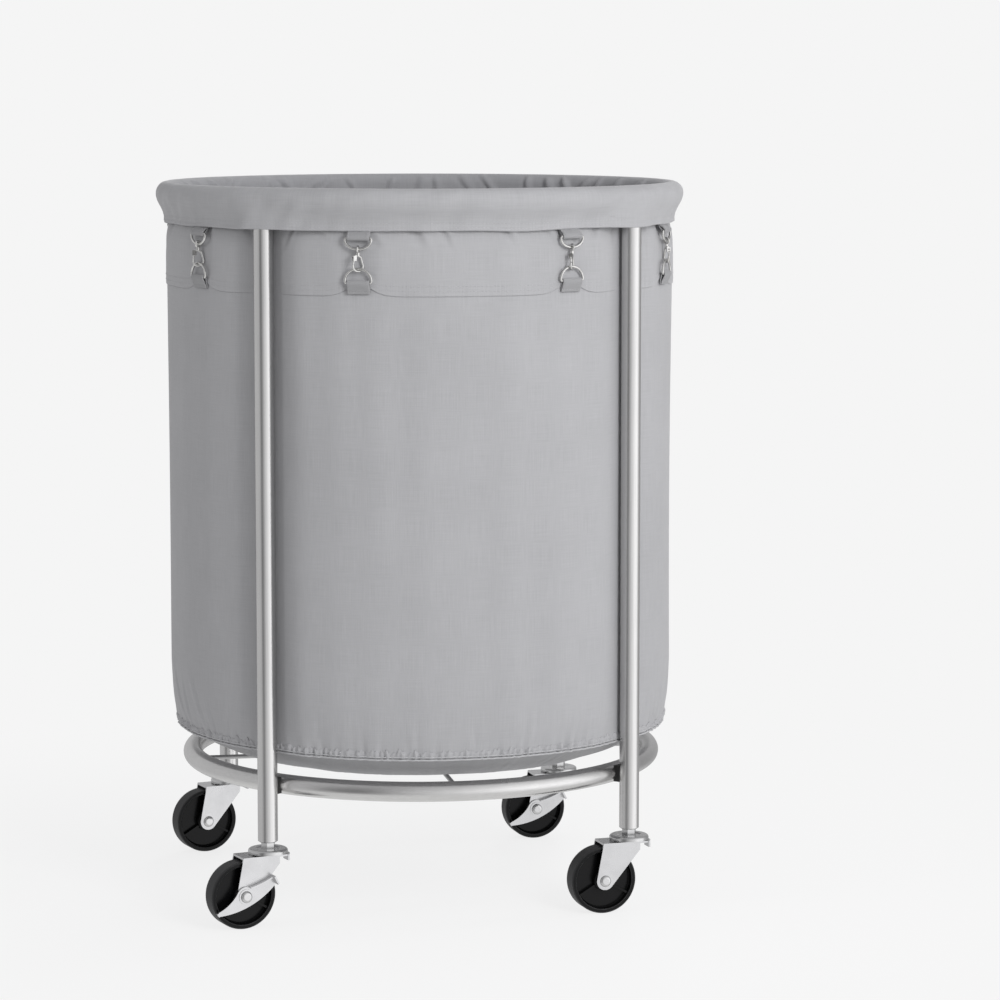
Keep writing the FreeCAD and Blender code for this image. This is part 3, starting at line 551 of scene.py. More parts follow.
BAG_GREY = (0.405, 0.405, 0.418)
# Painted shade for the inside of the bag, standing in for the shadow there.
INSIDE_PAINTED_SHADE = (0.84, 0.84, 0.85)
WEAVE_PITCH = 0.0009
TUBE_TONE = (0.66, 0.655, 0.65)
SADDLE_BLACK, SADDLE_SCUFF = (0.012, 0.012, 0.012), (0.02, 0.02, 0.02)
SLEEVE_WHITE, SLEEVE_SCUFF = (0.62, 0.61, 0.58), (0.5, 0.49, 0.46)

bag_cloth = canvas("bag_canvas", BAG_GREY)
# The base's cloth is the bag's grey made darker: painted shade for the underside of the bag.
base_cloth = canvas("base_canvas", shade(BAG_GREY, 0.95), flat=True)
tab_webbing = webbing("tab_webbing", (0.35, 0.35, 0.36))
light_thread = thread("light_thread", (0.46, 0.46, 0.472))
leg_steel = satin_steel("leg_satin_steel", TUBE_TONE, (900, 900, 14), 0.24)
ring_steel = satin_steel("ring_satin_steel", TUBE_TONE, (120, 120, 900), 0.25)
rod_steel = satin_steel("rod_satin_steel", (0.45, 0.45, 0.45), (300, 300, 300), 0.3)
plate_zinc = bright_zinc("pressed_zinc", (0.585, 0.585, 0.59), 0.26)
turned_zinc = bright_zinc("turned_zinc", (0.60, 0.60, 0.60), 0.18)
clip_nickel = nickel_wire("clip_nickel", (0.72, 0.715, 0.70))
saddle_plastic = moulded_plastic("saddle_plastic", SADDLE_BLACK, 0.5, SADDLE_SCUFF)
sleeve_plastic = moulded_plastic("sleeve_plastic", SLEEVE_WHITE, 0.4, SLEEVE_SCUFF)

# Each material, with how the names of its CAD nodes start. A later match wins.
CAD_LOOKS = [
    (leg_steel, ("leg_front", "leg_rear_left", "leg_rear_right")),
    (ring_steel, ("top_ring", "bottom_ring")),
    (rod_steel, ("base_rod",)),
    (turned_zinc, (
        "leg_top_plugs", "leg_bottom_plugs", "top_ring_nuts", "leg_rivet_nuts",
        "ring_bolts", "swivel_balls", "stem", "swivel_disc", "axle",
    )),
    (plate_zinc, ("fork", "brake_lever")),
    (clip_nickel, ("d_rings", "snap_hooks", "hook_gate")),
    (saddle_plastic, ("ring_spacers",)),
    (sleeve_plastic, ("bushing",)),
]


def dress(node, material):
    for material_slot in node.material_slots:
        material_slot.material = material


def dress_cad_nodes():
    for name, node in frame["nodes"].items():
        for material, starts in CAD_LOOKS:
            if name.startswith(starts):
                dress(node, material)
    for joint in frame["joints"]:
        if joint["name"].startswith("roll_"):
            corner = joint["name"][len("roll_"):]
            axis = np.array(joint["axis"]) / np.linalg.norm(joint["axis"])
            plastic = wheel_plastic("wheel_plastic_" + corner, joint["pos_m"], axis)
            dress(frame["nodes"]["wheel_" + corner], plastic)


# ------------------------------------------------------ the bag's shape

def wall_line():
    """Radius and height of the wall's middle surface, from bottom seam to ring."""
    rise_and_inset = [
        (0.0, 0.0090), (0.008, 0.0073), (0.016, 0.0055), (0.034, 0.0024),
        (0.060, 0.0006), (0.090, 0.0), (0.300, 0.0), (0.505, 0.0), (0.545, 0.0006),
        (0.562, 0.0016), (0.574, 0.0042), (0.584, 0.0085), (0.592, 0.0120),
        (0.5985, 0.0131),
    ]
    middle = WALL_RADIUS - CLOTH / 2
    return smooth_line(
        [(middle - inset, SEAM_Z + rise) for rise, inset in rise_and_inset], 8)


def roll_line():
    """Over the top ring, from its inner side to its outer side."""
    angles = np.radians(np.linspace(183, -4, 27))
    return np.column_stack([
        RING_CIRCLE + ROLL_RADIUS * np.cos(angles),
        RING_Z + ROLL_RADIUS * np.sin(angles),
    ])


def skirt_line():
    """From the roll's outer side to the hem, then the fold back up inside."""
    hem = HEM_Z - RING_Z
    down = smooth_line([
        (0.0121, -0.0030), (0.0102, -0.0088), (0.0068, -0.0150), (0.0042, -0.0205),
        (0.0029, -0.0253), (0.0027, -0.0290), (0.0031, hem + HEM_RADIUS),
    ], 4)
    turn = [
        (0.0022 + HEM_RADIUS * math.cos(angle), hem + HEM_RADIUS * (1 + math.sin(angle)))
        for angle in np.radians([-35, -90, -145])
    ]
    back = [(0.0014, hem + rise) for rise in (0.0012, 0.004, 0.008, HEM_FOLD)]
    line = np.vstack([down, turn, back])
    return line + np.array([RING_CIRCLE, RING_Z])


def lengths_along(line):
    steps = np.hypot(*np.diff(line, axis=0).T)
    return np.concatenate([[0], np.cumsum(steps)])


WALL = wall_line()
ROLL = roll_line()
SKIRT = skirt_line()
PROFILE = np.vstack([WALL, ROLL, SKIRT])
RUN = lengths_along(PROFILE)
WALL_END = RUN[len(WALL) - 1]
ROLL_END = RUN[len(WALL) + len(ROLL) - 1]
HEM_RUN = RUN[-6]  # the lowest point of the hem's turn


def band_edge_lift(angle):
    """The lower tabs pull the band's edge up a little on both sides of each clip."""
    lift = np.zeros_like(angle)
    for bearing in CLIP_BEARINGS:
        aside = np.abs(turn_between(angle, bearing)) * WALL_RADIUS
        beyond_tab = np.maximum(aside - LIFTED_HALF, 0) / LIFT_FALL
        lift = np.maximum(lift, BAND_LIFT * np.exp(-beyond_tab ** 1.4))
    return lift


def leg_nearness(angle, width):
    """1 at a leg, falling off smoothly beside it."""
    near = np.zeros_like(angle)
    for bearing in LEG_BEARINGS:
        near = np.maximum(near, np.exp(-(turn_between(angle, bearing) / width) ** 2))
    return near


def clip_nearness(angle):
    """1 behind a clip, 0 beyond its edges."""
    near = np.zeros_like(angle)
    for bearing in CLIP_BEARINGS:
        aside = turn_between(angle, bearing) * WALL_RADIUS
        near = np.maximum(near, np.exp(-(aside / CLIP_DENT_HALF) ** 4))
    return near


def pleat(across):
    """A fold that leans over: a high side and a sharp, deep side."""
    return np.exp(-across ** 2) - 0.9 * np.exp(-((across - 1.25) / 0.55) ** 2)


PLEATS = 52
PLEAT_SHIFTS = (-0.42, 0.42)
PLEAT_WIDTHS = (0.0034, 0.0078)
PLEAT_LEANS = (-0.9, 1.4)
PLEAT_DEPTHS = (0.0018, 0.0058)
PLEAT_FADES = (0.008, 0.015)


def rim_pleats(angle, run):
    """Irregular gathers on the inner side of the roll and just below it."""
    draw = np.random.default_rng(11)
    total = np.zeros(np.broadcast(angle, run).shape)
    middle = WALL_END + 0.008
    for index in range(PLEATS):
        bearing = 2 * math.pi * (index + draw.uniform(*PLEAT_SHIFTS)) / PLEATS
        width = draw.uniform(*PLEAT_WIDTHS) / RING_CIRCLE
        lean = draw.uniform(*PLEAT_LEANS) / RING_CIRCLE
        depth = draw.uniform(*PLEAT_DEPTHS)
        top = middle + draw.uniform(*PLEAT_FADES)
        along = turn_between(angle, bearing) + lean * (run - middle)
        side = pleat(along / width)
        starts = smoothstep(WALL_END - 0.055, WALL_END - 0.012, run)
        total += depth * side * starts * (1 - smoothstep(middle, top, run))
    return total


WRINKLE_WIDTH = 0.0044
WRINKLES = [
    # bearing (degrees), run from the seam, length, slope, depth
    (187, 0.040, 0.050, -0.55, 0.0016), (193, 0.030, 0.038, -0.35, 0.0018),
    (199, 0.045, 0.060, -0.45, 0.0014), (205, 0.022, 0.030, -0.25, 0.0016),
    (211, 0.030, 0.036, 0.20, 0.0012), (236, 0.020, 0.022, 0.10, 0.0010),
    (259, 0.026, 0.026, 0.05, 0.0011), (272, 0.018, 0.020, -0.10, 0.0012),
    (286, 0.024, 0.030, 0.10, 0.0012), (301, 0.020, 0.024, 0.25, 0.0013),
    (322, 0.028, 0.034, 0.30, 0.0013), (338, 0.036, 0.044, 0.40, 0.0014),
    (351, 0.030, 0.040, 0.45, 0.0014), (12, 0.024, 0.030, -0.20, 0.0012),
    (33, 0.030, 0.036, 0.15, 0.0012), (58, 0.026, 0.030, -0.25, 0.0013),
    (77, 0.022, 0.028, 0.20, 0.0012), (104, 0.030, 0.040, -0.30, 0.0014),
    (121, 0.020, 0.026, 0.15, 0.0012), (149, 0.034, 0.044, 0.30, 0.0014),
    (166, 0.028, 0.036, -0.35, 0.0014),
]


def wall_wrinkles(angle, run):
    """Longer creases that climb the wall from the gathered seam."""
    total = np.zeros(np.broadcast(angle, run).shape)
    for degrees, middle, length, slope, depth in WRINKLES:
        aside = turn_between(angle, math.radians(degrees)) * WALL_RADIUS
        across = aside - slope * (run - middle)
        along = (run - middle) / length
        fade = np.exp(-along ** 2 * 2.2)
        total += 0.8 * depth * pleat(across / WRINKLE_WIDTH) * fade
    return total


def shell(angle, run):
    """The bag's middle surface: x, y and z for angles round the bag and runs along it."""
    radius = np.interp(run, RUN, PROFILE[:, 0])
    height = np.interp(run, RUN, PROFILE[:, 1])
    on_wall = 1 - smoothstep(WALL_END - 0.03, WALL_END, run)
    low = np.exp(-run / 0.0105) * (0.3 + 0.7 * smoothstep(0, 0.005, run))
    middling = np.exp(-run / 0.016)
    bunched = 0.35 + 0.65 * smoothstep(-0.8, 1.0, ripple(angle, 6, 12, 40, 10))
    above_seam = 0.25 + 0.75 * smoothstep(0, 0.010, run)
    near = leg_nearness(angle, WALL_DENT_WIDTH)
    over_leg = leg_nearness(angle, FLAP_BULGE_WIDTH)

    # The wall's waves, from the finest, at the seam, to the widest.
    puckers = 0.0017 * ripple(angle, 3, 100, 190, 26) * low * bunched * (1 - 0.5 * near)
    gathers = 0.0007 * ripple(angle + 0.15 * run, 5, 45, 95, 18) * middling * above_seam
    patchy = 0.4 + 0.6 * np.cos(run * 7.0 + 3 * angle) ** 2
    folds = 0.00045 * ripple(angle, 8, 14, 40, 14) * patchy
    up_wall = np.clip(run / 0.5, 0, 1)
    swell = 0.0009 * ripple(angle, 9, 3, 8, 6) * np.sin(math.pi * up_wall)
    creases = wall_wrinkles(angle, run) * above_seam
    cloth = (puckers + gathers + folds + swell + creases) * on_wall

    # The doubled band at the top of the wall stands out by a step.
    stepped = smoothstep(BAND_RUN - 0.0001, BAND_RUN + 0.0003, run)
    stepped = stepped * (1 - smoothstep(WALL_END - 0.05, WALL_END - 0.03, run))
    cloth = cloth + BAND_STEP * stepped

    # The wall gives way behind the clips and the legs.
    below_roll = 1 - smoothstep(WALL_END - 0.004, WALL_END + 0.002, run)
    behind = clip_nearness(angle) * smoothstep(BAND_RUN + 0.006, BAND_RUN + 0.026, run)
    cloth = cloth - behind * np.maximum(radius + cloth - BEHIND_CLIPS, 0) * below_roll
    beside_leg = LEG_CIRCLE - LEG_RADIUS - LEG_GAP
    dent = near * np.maximum(radius + cloth - beside_leg, 0) * below_roll
    radius = radius + cloth - dent

    # Pleats push inward below the ring, and away from the tube on its roll.
    over = (run > WALL_END - 0.06) & (run < ROLL_END)
    roll_out = np.hypot(radius - RING_CIRCLE, height - RING_Z)
    out_r = np.where(run > WALL_END, (radius - RING_CIRCLE) / roll_out, -1.0)
    out_z = np.where(run > WALL_END, (height - RING_Z) / roll_out, 0.0)
    pleats = np.maximum(rim_pleats(angle, run), -DEEPEST_ROLL_DENT)
    push = np.where(over, pleats, 0.0)
    radius = radius + push * out_r
    height = height + push * out_z

    # The flap flutters a little, and bulges over each leg.
    outer_side = smoothstep(ROLL_END - 0.012, ROLL_END + 0.006, run)
    flutter = ripple(angle, 21, 9, 36, 14)
    slanted = ripple(angle + 2 * run, 22, 30, 70, 12)
    skirt = outer_side * (0.00045 * flutter + 0.0004 * slanted)
    past_top = smoothstep(WALL_END + 0.018, WALL_END + 0.026, run)
    roll_swell = 0.0004 * ripple(angle + 5 * run, 25, 14, 44, 14) * past_top
    bulge = over_leg * np.maximum(FLAP_BULGE - radius, 0) * outer_side
    inside = smoothstep(HEM_RUN, HEM_RUN + 0.002, run)
    radius = radius + skirt + roll_swell + bulge - 0.0014 * inside * over_leg
    edge_droop = 0.0004 * ripple(angle, 27, 5, 22, 12)
    edge_droop = edge_droop * smoothstep(ROLL_END, HEM_RUN, run)
    lift_share = np.exp(-((run - BAND_RUN) / BAND_LIFT_REACH) ** 2)
    height = height + edge_droop + band_edge_lift(angle) * lift_share
    return radius * np.cos(angle), radius * np.sin(angle), height


def station_runs():
    """Where the mesh's rows lie: close together where the cloth has detail."""
    parts = [
        np.arange(0, 0.016, 0.0014),
        np.arange(0.016, 0.060, 0.0032),
        np.arange(0.060, BAND_RUN - 0.030, 0.012),
        np.arange(BAND_RUN - 0.030, BAND_RUN - 0.003, 0.003),
        BAND_RUN + np.array(
            [-0.0024, -0.0010, -0.0003, -0.0001, 0.0001, 0.0003, 0.0007, 0.0014, 0.0028]),
        np.arange(BAND_RUN + 0.005, WALL_END - 0.032, 0.004),
        np.arange(WALL_END - 0.031, ROLL_END, 0.0019),
        RUN[len(WALL) + len(ROLL):],
    ]
    return np.concatenate(parts)


def bearings_round(columns):
    return BACK_SEAM + 2 * math.pi * np.arange(columns) / columns


def ring_of_points(radius, angles, height):
    return np.column_stack([radius * np.cos(angles), radius * np.sin(angles), height])


def on_the_cloth(angles, runs, outward):
    """Points that stand so far outward from the cloth's middle surface."""
    x, y, z = shell(angles, runs)
    reach = 1 + outward / np.hypot(x, y)
    return np.column_stack([x * reach, y * reach, z])


def make_bag():
    runs = station_runs()
    x, y, z = shell(bearings_round(BAG_COLUMNS)[None, :], runs[:, None])
    points = np.column_stack([x.ravel(), y.ravel(), z.ravel()])
    faces = grid_faces(len(runs), BAG_COLUMNS)
    bag = new_piece("bag_shell", points, faces, bag_cloth)
    thicken(bag, CLOTH)
    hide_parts("bag_wall", "bag_flap")
    return bag


def seam_radius(angle):
    x, y, _ = shell(angle, np.full_like(angle, SEAM_RUN))
    return np.hypot(x, y)


def make_base():
    """The bottom panel: a shallow dish that rests on the crossed rods."""
    columns = BASE_COLUMNS
    angles = bearings_round(columns)
    line = smooth_line([
        # share of the radius, share of the depth
        (1.0, 0.0), (0.975, 0.080), (0.935, 0.27), (0.88, 0.50), (0.81, 0.745),
        (0.73, 0.915), (0.64, 0.985), (0.50, 1.0), (0.30, 1.0), (0.10, 1.0), (0.02, 1.0),
    ], 7)
    depth = SEAM_Z - BASE_LOW_Z - CLOTH / 2
    edge = seam_radius(angles)
    fine = 0.0004 * ripple(angles, 31, 60, 130, 20)
    gathered = 0.0002 * ripple(angles, 33, 22, 60, 14)
    between_rods = 0.0016 * np.abs(np.sin(2 * angles)) ** 0.8
    rows = []
    for share, drop in line:
        inset = 1 - share
        at_edge = fine * math.exp(-inset / 0.010) + gathered * math.exp(-inset / 0.05)
        sag = between_rods * math.sin(math.pi * min(1, share / 0.9)) ** 1.2
        height = SEAM_Z - depth * drop + at_edge - sag * drop
        rows.append(ring_of_points(edge * share, angles, height))
    points = np.vstack(rows + [np.array([[0, 0, SEAM_Z - depth]])])
    faces = grid_faces(len(rows), columns)
    last = (len(rows) - 1) * columns
    centre = len(points) - 1
    faces += [
        (last + column, last + (column + 1) % columns, centre)
        for column in range(columns)
    ]
    base = new_piece("bag_base_panel", points, faces, base_cloth)
    thicken(base, CLOTH)
    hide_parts("bag_base")
    return base


# The seam's two cords: height over the seam, radius, how far out they stand.
SEAM_CORDS = [(-0.0009, 0.0011, 0.0013), (0.0024, 0.0008, 0.0019)]
CORD_SIDES = 8


def make_seam():
    """The gathered bottom seam: a finely puckered strip, and two thin cords below it."""
    columns = SEAM_COLUMNS
    angles = 2 * math.pi * np.arange(columns) / columns
    edge = seam_radius(angles)
    sharp = ripple(angles, 41, 170, 330, 30)
    slow = ripple(angles, 42, 60, 140, 18)
    ragged = ripple(angles, 43, 200, 420, 24)
    rows = []
    for share in np.linspace(0, 1, 10):
        rise = (0.0078 + 0.0009 * ragged + 0.0008 * slow) * share
        proud = math.sin(math.pi * min(share + 0.05, 0.97)) ** 0.6
        out = (0.0006 + 0.0008 * sharp + 0.0002 * slow) * proud
        outward = CLOTH / 2 + np.maximum(out, -0.0002)
        rows.append(on_the_cloth(angles, SEAM_RUN + rise, outward))
    faces = grid_faces(len(rows), columns)
    ruffle = new_piece(
        "bag_seam_ruffle", np.vstack(rows), faces, bag_cloth)
    thicken(ruffle, 0.0006)

    points, faces = [], []
    for rise, thick, proud in SEAM_CORDS:
        first = len(points) * columns
        for side in range(CORD_SIDES):
            turn = 2 * math.pi * side / CORD_SIDES
            radius = edge + proud + 0.0002 * slow + thick * math.cos(turn)
            height = SEAM_Z + rise + 0.00012 * sharp + thick * math.sin(turn)
            points.append(ring_of_points(radius, angles, height))
        faces += grid_faces(CORD_SIDES, columns, first)
        top = first + (CORD_SIDES - 1) * columns
        for column in range(columns):
            following = (column + 1) % columns
            faces.append(
                (top + column, top + following, first + following, first + column))
    ridge = new_piece(
        "bag_seam_ridge", np.vstack(points), faces, light_thread)
    return [ruffle, ridge]


# ------------------------------------------------------ stitches

def stitch_piece(name, starts, ends, outward):
    """Raised stitches: a spindle from each start to each end, its tips in the cloth."""
    starts, ends, outward = (
        np.array(values, float) for values in (starts, ends, outward))
    along = ends - starts
    along /= np.linalg.norm(along, axis=1)[:, None]
    across = np.cross(along, outward)
    across /= np.linalg.norm(across, axis=1)[:, None]
    up = np.cross(across, along)
    sides = 5
    rings = [(0.12, 0.6), (0.5, 1.0), (0.88, 0.6)]
    points, faces = [], []
    per_stitch = sides * len(rings) + 2
    for share, size in rings:
        rise = STITCH_RADIUS * (1.2 * size - 0.5)
        centre = starts + (ends - starts) * share + up * rise
        for side in range(sides):
            turn = 2 * math.pi * side / sides
            around = math.cos(turn) * across + math.sin(turn) * up
            points.append(centre + STITCH_RADIUS * size * around)
    points.append(starts - up * STITCH_RADIUS)
    points.append(ends - up * STITCH_RADIUS)
    points = np.stack(points, axis=1).reshape(-1, 3)
    pattern = []
    for ring in range(len(rings) - 1):
        for side in range(sides):
            following = (side + 1) % sides
            low, high = ring * sides, (ring + 1) * sides
            pattern.append((low + side, high + side, high + following, low + following))
    first_tip, last_tip = per_stitch - 2, per_stitch - 1
    end_ring = sides * (len(rings) - 1)
    for side in range(sides):
        following = (side + 1) % sides
        pattern.append((first_tip, side, following))
        pattern.append((last_tip, end_ring + following, end_ring + side))
    for index in range(len(starts)):
        first = index * per_stitch
        faces += [tuple(first + corner for corner in face) for face in pattern]
    return new_piece(name, points, faces, light_thread)


STITCH = 0.0030
STITCH_PITCH = 0.0043


def stitches_round(run):
    """Starts, ends and outward directions of one row of stitches round the bag."""
    count = int(2 * math.pi * WALL_RADIUS / STITCH_PITCH)
    first = 2 * math.pi * np.arange(count) / count
    starts, ends = (
        on_the_cloth(angles, np.full(count, run), CLOTH / 2)
        for angles in (first, first + STITCH / WALL_RADIUS)
    )
    return starts, ends, ring_of_points(1, first, np.zeros(count))


def make_round_stitches():
    rows = {
        "hem_stitches": (HEM_RUN - 0.0035, HEM_RUN - 0.0085),
        "band_stitches": (BAND_RUN + 0.0050, BAND_RUN + 0.0105),
    }
    made = []
    for name, runs in rows.items():
        sets = [stitches_round(run) for run in runs]
        made.append(stitch_piece(name, *(np.vstack(parts) for parts in zip(*sets))))
    return made


BACK_SEAM_HALF = 0.0065
BACK_SEAM_LIFT = 0.0011


def make_back_seam():
    """The wall's own joint: a flat strip up the back, with stitches along each edge."""
    across = np.linspace(-1, 1, 9)
    angles = BACK_SEAM + across * BACK_SEAM_HALF / WALL_RADIUS
    proud = CLOTH / 2 + BACK_SEAM_LIFT * (1 - np.abs(across) ** 6) - 0.0003
    runs = np.append(np.arange(0.006, BAND_RUN - 0.004, 0.006), BAND_RUN - 0.0015)
    points = [on_the_cloth(angles, np.full_like(angles, run), proud) for run in runs]
    faces = grid_faces(len(runs), len(across), closed=False)
    strip = new_piece("bag_back_seam", np.vstack(points), faces, bag_cloth)
    thicken(strip, 0.0008)

    starts, ends, outwards = [], [], []
    for side in (-0.72, 0.72):
        first = np.arange(0.010, BAND_RUN - 0.010, STITCH_PITCH)
        angle = BACK_SEAM + side * BACK_SEAM_HALF / WALL_RADIUS
        for tips, spots in ((starts, first), (ends, first + STITCH)):
            tips.append(on_the_cloth(
                np.full_like(spots, angle), spots, CLOTH / 2 + BACK_SEAM_LIFT))
        outwards.append(np.tile([math.cos(angle), math.sin(angle), 0], (len(first), 1)))
    stitches = stitch_piece(
        "back_seam_stitches", np.vstack(starts), np.vstack(ends), np.vstack(outwards))
    return [strip, stitches]


# ------------------------------------------------------ webbing tabs

def clip_frame(bearing):
    """Directions along the bag and outward at a clip, and its place on their circle."""
    outward = np.array([math.cos(bearing), math.sin(bearing), 0])
    along = np.array([-math.sin(bearing), math.cos(bearing), 0])
    return along, outward, outward * CLIP_CIRCLE


# A tab's way round its D-ring's bar: outward and up from the bar.
UPPER_LOOP = [
    (-0.0068, 0.0140), (-0.0066, 0.0090), (-0.0050, 0.0046), (-0.0021, 0.0008),
    (-0.0014, -0.0016), (0.0, -0.0022), (0.0014, -0.0016), (0.0021, 0.0006),
    (0.0000, 0.0034), (-0.0038, 0.0058), (-0.0055, 0.0086), (-0.0057, 0.0140),
]
LOWER_LOOP = [
    (-0.0040, -0.0115), (-0.0032, -0.0060), (-0.0022, -0.0008), (-0.0014, 0.0016),
    (0.0, 0.0022), (0.0014, 0.0016), (0.0021, -0.0010), (0.0006, -0.0045),
    (-0.0016, -0.0085), (-0.0026, -0.0120),
]


def make_tabs(name, node, height, loop):
    """One folded strap of webbing at each clip, round the D-ring's bar."""
    line = smooth_line(loop, 5)
    across = np.linspace(-1, 1, 15)
    points, faces = [], []
    for bearing in CLIP_BEARINGS:
        along, outward, place = clip_frame(bearing)
        first = len(points)
        for out, up in line:
            for share in across:
                curl = math.copysign(0.00025 * share ** 6, -out)
                aside = along * share * TAB_WIDTH / 2
                spot = place + aside + outward * (out + curl)
                points.append(spot + np.array([0, 0, height + up]))
        faces += grid_faces(len(line), len(across), first, closed=False)
    tabs = new_piece(name, points, faces, tab_webbing)
    thicken(tabs, TAB_CLOTH)
    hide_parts(node)
    return tabs


def make_tab_stitches():
    """Stitches down both edges of each upper tab and across each lower tab."""
    inset = TAB_WIDTH / 2 - 0.0022
    outer_ups = [up for out, up in UPPER_LOOP[7:11]]
    outer_outs = [out for out, up in UPPER_LOOP[7:11]]
    lower_row = -0.0095
    lower_out = np.interp(lower_row, [-0.0120, -0.0085], [-0.0026, -0.0016])
    starts, ends, outwards = [], [], []
    for bearing in CLIP_BEARINGS:
        along, outward, place = clip_frame(bearing)
        for side in (-1, 1):
            for step in range(2):
                rise = 0.0008 + 0.0026 * step
                out = np.interp(rise, outer_ups, outer_outs)
                spot = place + along * side * inset + outward * (out + TAB_CLOTH / 2)
                starts.append(spot + np.array([0, 0, UPPER_BAR_Z + rise]))
                ends.append(spot + np.array([0, 0, UPPER_BAR_Z + rise + 0.0022]))
                outwards.append(outward)
        spot = place + outward * (lower_out + TAB_CLOTH / 2)
        spot = spot + np.array([0, 0, LOWER_BAR_Z + lower_row])
        for step in range(6):
            aside = 0.0036 * step - inset
            starts.append(spot + along * aside)
            ends.append(spot + along * (aside + 0.0026))
            outwards.append(outward)
    return stitch_piece("tab_stitches", starts, ends, outwards)


# ------------------------------------------------------ stage, light and camera

# The camera looks from where the photo was taken. Angles "aside" are to the right of the
# camera, seen from the hamper's axis.
VIEW_BEARING = math.radians(-99)
VIEW_DISTANCE = 4.15
VIEW_HEIGHT = 0.934
VIEW_PITCH = math.radians(6.75)
VIEW_YAW = math.radians(1.264)
LENS = 130.5
PALE = 0.913
SOFT_LIGHT = 0.85
REFLECTED_LIGHT = 1.06
FLOOR_BOUNCE = 0.70
FLOOR_LIFT = 0.24
SHADOW_SHARE = 0.17
SHADOW_ENDS = (0.35, 1.1)
FLOOR_RINGS = (1.5, 14.0)
FLOOR_COLUMNS = 96
LIGHTS_AIM_Z = 0.42
SOFTBOXES = [
    # name, angle aside (degrees), distance, height, size, power
    ("key_softbox", 31, 2.6, 1.35, (0.8, 1.3), 36.5),
    ("left_softbox", -60, 2.8, 1.6, (0.5, 1.0), 8),
    ("edge_softbox", 105, 2.6, 1.2, (0.4, 1.2), 8),
    ("back_softbox", 165, 2.8, 1.6, (0.9, 1.2), 20),
]
STUDIO = [
    # angle aside (degrees), brightness of the studio wall
    (-180, 0.50), (-130, 0.58), (-90, 0.60), (-56, 0.56), (-42, 0.24), (-28, 0.18),
    (-12, 0.52), (8, 0.80), (24, 0.98), (48, 1.34), (84, 1.40), (100, 0.60),
    (130, 0.34), (180, 0.50),
]
STUDIO_ROOF = (0.48, 0.48, 0.49)
STUDIO_GROUND = (0.78, 0.78, 0.78)


def bearing_point(aside, distance, height):
    bearing = VIEW_BEARING + math.radians(aside)
    return (distance * math.cos(bearing), distance * math.sin(bearing), height)


def make_camera():
    camera = bpy.data.objects.new("camera", bpy.data.cameras.new("camera"))
    bpy.context.scene.collection.objects.link(camera)
    camera.location = bearing_point(0, VIEW_DISTANCE, VIEW_HEIGHT)
    heading = VIEW_BEARING + math.pi / 2 - VIEW_YAW
    camera.rotation_euler = (math.pi / 2 - VIEW_PITCH, 0, heading)
    camera.data.lens = LENS
    camera.data.sensor_width = 36
    camera.data.clip_end = 60
    bpy.context.scene.camera = camera


def make_softbox(name, aside, distance, height, size, power):
    data = bpy.data.lights.new(name, "AREA")
    data.shape = "RECTANGLE"
    data.size, data.size_y = size
    data.energy = power
    light = bpy.data.objects.new(name, data)
    light.visible_glossy = False
    bpy.context.scene.collection.objects.link(light)
    place = np.array(bearing_point(aside, distance, height))
    towards = np.array([0, 0, LIGHTS_AIM_Z]) - place
    light.location = place
    pan = math.atan2(towards[1], towards[0])
    tilt = math.atan2(towards[2], math.hypot(towards[0], towards[1]))
    light.rotation_euler = (math.pi / 2 + tilt, 0, pan - math.pi / 2)


def make_world():
    """A pale surround for the camera, and a graded studio for light and reflections."""
    world = bpy.data.worlds.new("studio")
    bpy.context.scene.world = world
    nodes = Tree(world)
    nodes.tree.nodes.clear()
    place = nodes.split(nodes.place("Generated"))
    bearing = nodes.math("ARCTAN2", place["Y"], place["X"])
    turned = nodes.math("ADD", bearing, 3 * math.pi - VIEW_BEARING)
    share = nodes.math("FRACT", nodes.math("DIVIDE", turned, 2 * math.pi))
    wall = nodes.ramp(share, [
        ((aside + 180) / 360, (level, level, level * 1.01)) for aside, level in STUDIO])
    steep = nodes.math("POWER", nodes.math("ABSOLUTE", place["Z"]), 1.5)
    roofed = nodes.mix(steep, wall, STUDIO_ROOF)
    low = nodes.spread(place["Z"], 0.0, 1.0, -0.20, -0.75, "SMOOTHSTEP")
    rays = nodes.add("ShaderNodeLightPath").outputs
    studio = nodes.emission(
        "ShaderNodeBackground", nodes.mix(low, roofed, STUDIO_GROUND),
        nodes.spread(rays["Is Glossy Ray"], SOFT_LIGHT, REFLECTED_LIGHT))
    pale = nodes.emission("ShaderNodeBackground", (PALE, PALE, PALE), 1.0)
    seen = nodes.either(rays["Is Camera Ray"], studio, pale)
    nodes.link(seen, nodes.add("ShaderNodeOutputWorld").inputs["Surface"])


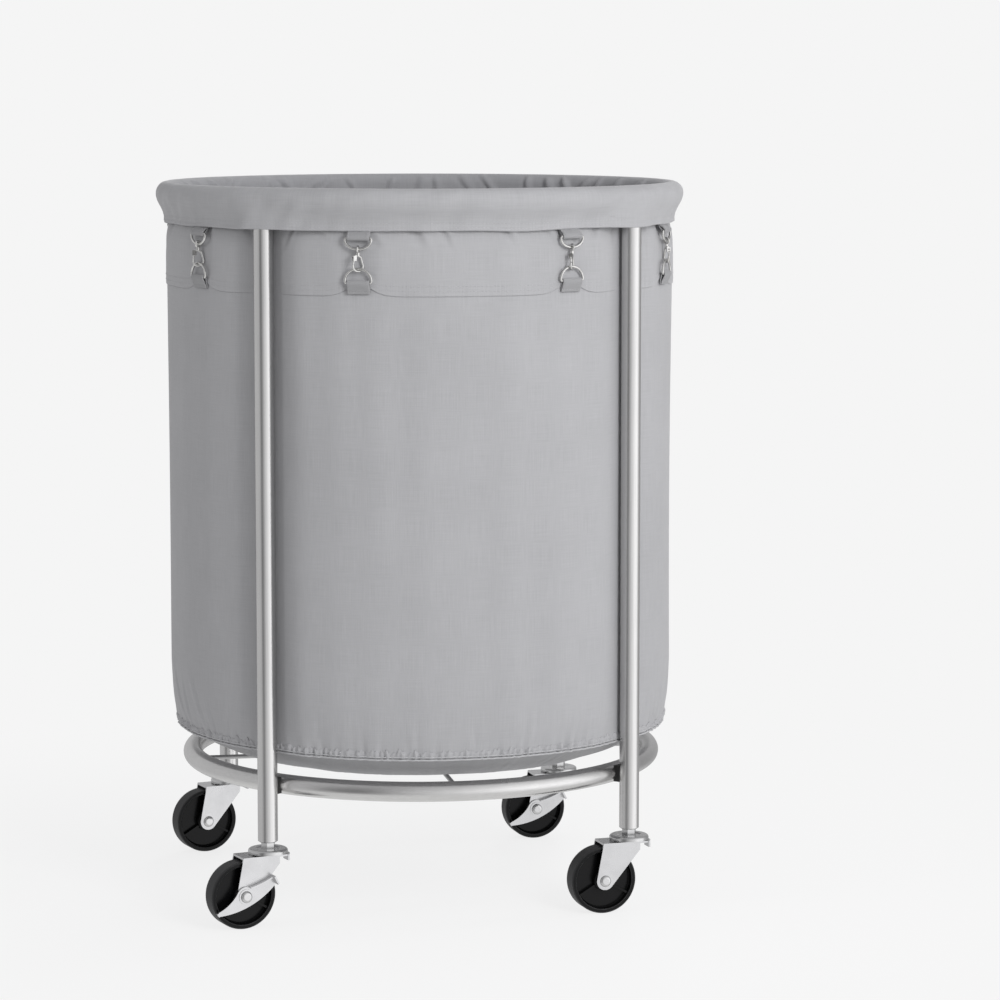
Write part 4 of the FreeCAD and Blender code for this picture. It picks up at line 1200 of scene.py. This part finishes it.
def make_floor():
    """A large pale disc that keeps only a faint shadow under the wheels."""
    columns = FLOOR_COLUMNS
    points = [(0, 0, 0)]
    for reach in FLOOR_RINGS:
        for column in range(columns):
            turn = 2 * math.pi * column / columns
            points.append((reach * math.cos(turn), reach * math.sin(turn), 0))
    faces = []
    for column in range(columns):
        near, following = 1 + column, 1 + (column + 1) % columns
        faces.append((0, near, following))
        faces.append((near, columns + near, columns + following, following))
    mesh = bpy.data.meshes.new("studio_floor")
    mesh.from_pydata(points, [], faces)
    floor = bpy.data.objects.new("studio_floor", mesh)
    bpy.context.scene.collection.objects.link(floor)

    material = bpy.data.materials.new("studio_floor")
    nodes = Tree(material)
    nodes.tree.nodes.clear()
    pale = (PALE, PALE, PALE)
    seen = nodes.add("ShaderNodeLightPath").outputs["Is Camera Ray"]
    glow = nodes.emission(
        "ShaderNodeEmission", pale, nodes.spread(seen, FLOOR_BOUNCE, 1.0))
    paint = nodes.add("ShaderNodeBsdfDiffuse")
    paint.inputs["Color"].default_value = (0.86, 0.86, 0.86, 1)
    shaded = nodes.add("ShaderNodeAddShader")
    nodes.link(paint.outputs[0], shaded.inputs[0])
    nodes.link(nodes.emission("ShaderNodeEmission", pale, FLOOR_LIFT), shaded.inputs[1])
    away = nodes.vector("LENGTH", nodes.place(), output="Value")
    shadow = nodes.spread(away, SHADOW_SHARE, 0.0, *SHADOW_ENDS, "SMOOTHSTEP")
    surface = nodes.either(shadow, glow, shaded.outputs[0])
    nodes.link(surface, nodes.add("ShaderNodeOutputMaterial").inputs["Surface"])
    mesh.materials.append(material)
    floor.visible_glossy = False


# ------------------------------------------------------ assembly

make_camera()
make_world()
make_floor()
for softbox in SOFTBOXES:
    make_softbox(*softbox)
bpy.context.scene.view_settings.view_transform = "Standard"

dress_cad_nodes()
bag = make_bag()
base = make_base()
seams = make_seam() + make_back_seam()
stitches = make_round_stitches()
upper_tabs = make_tabs("upper_tab_webbing", "bag_tabs_upper", UPPER_BAR_Z, UPPER_LOOP)
lower_tabs = make_tabs("lower_tab_webbing", "bag_tabs_lower", LOWER_BAR_Z, LOWER_LOOP)
tab_stitches = make_tab_stitches()
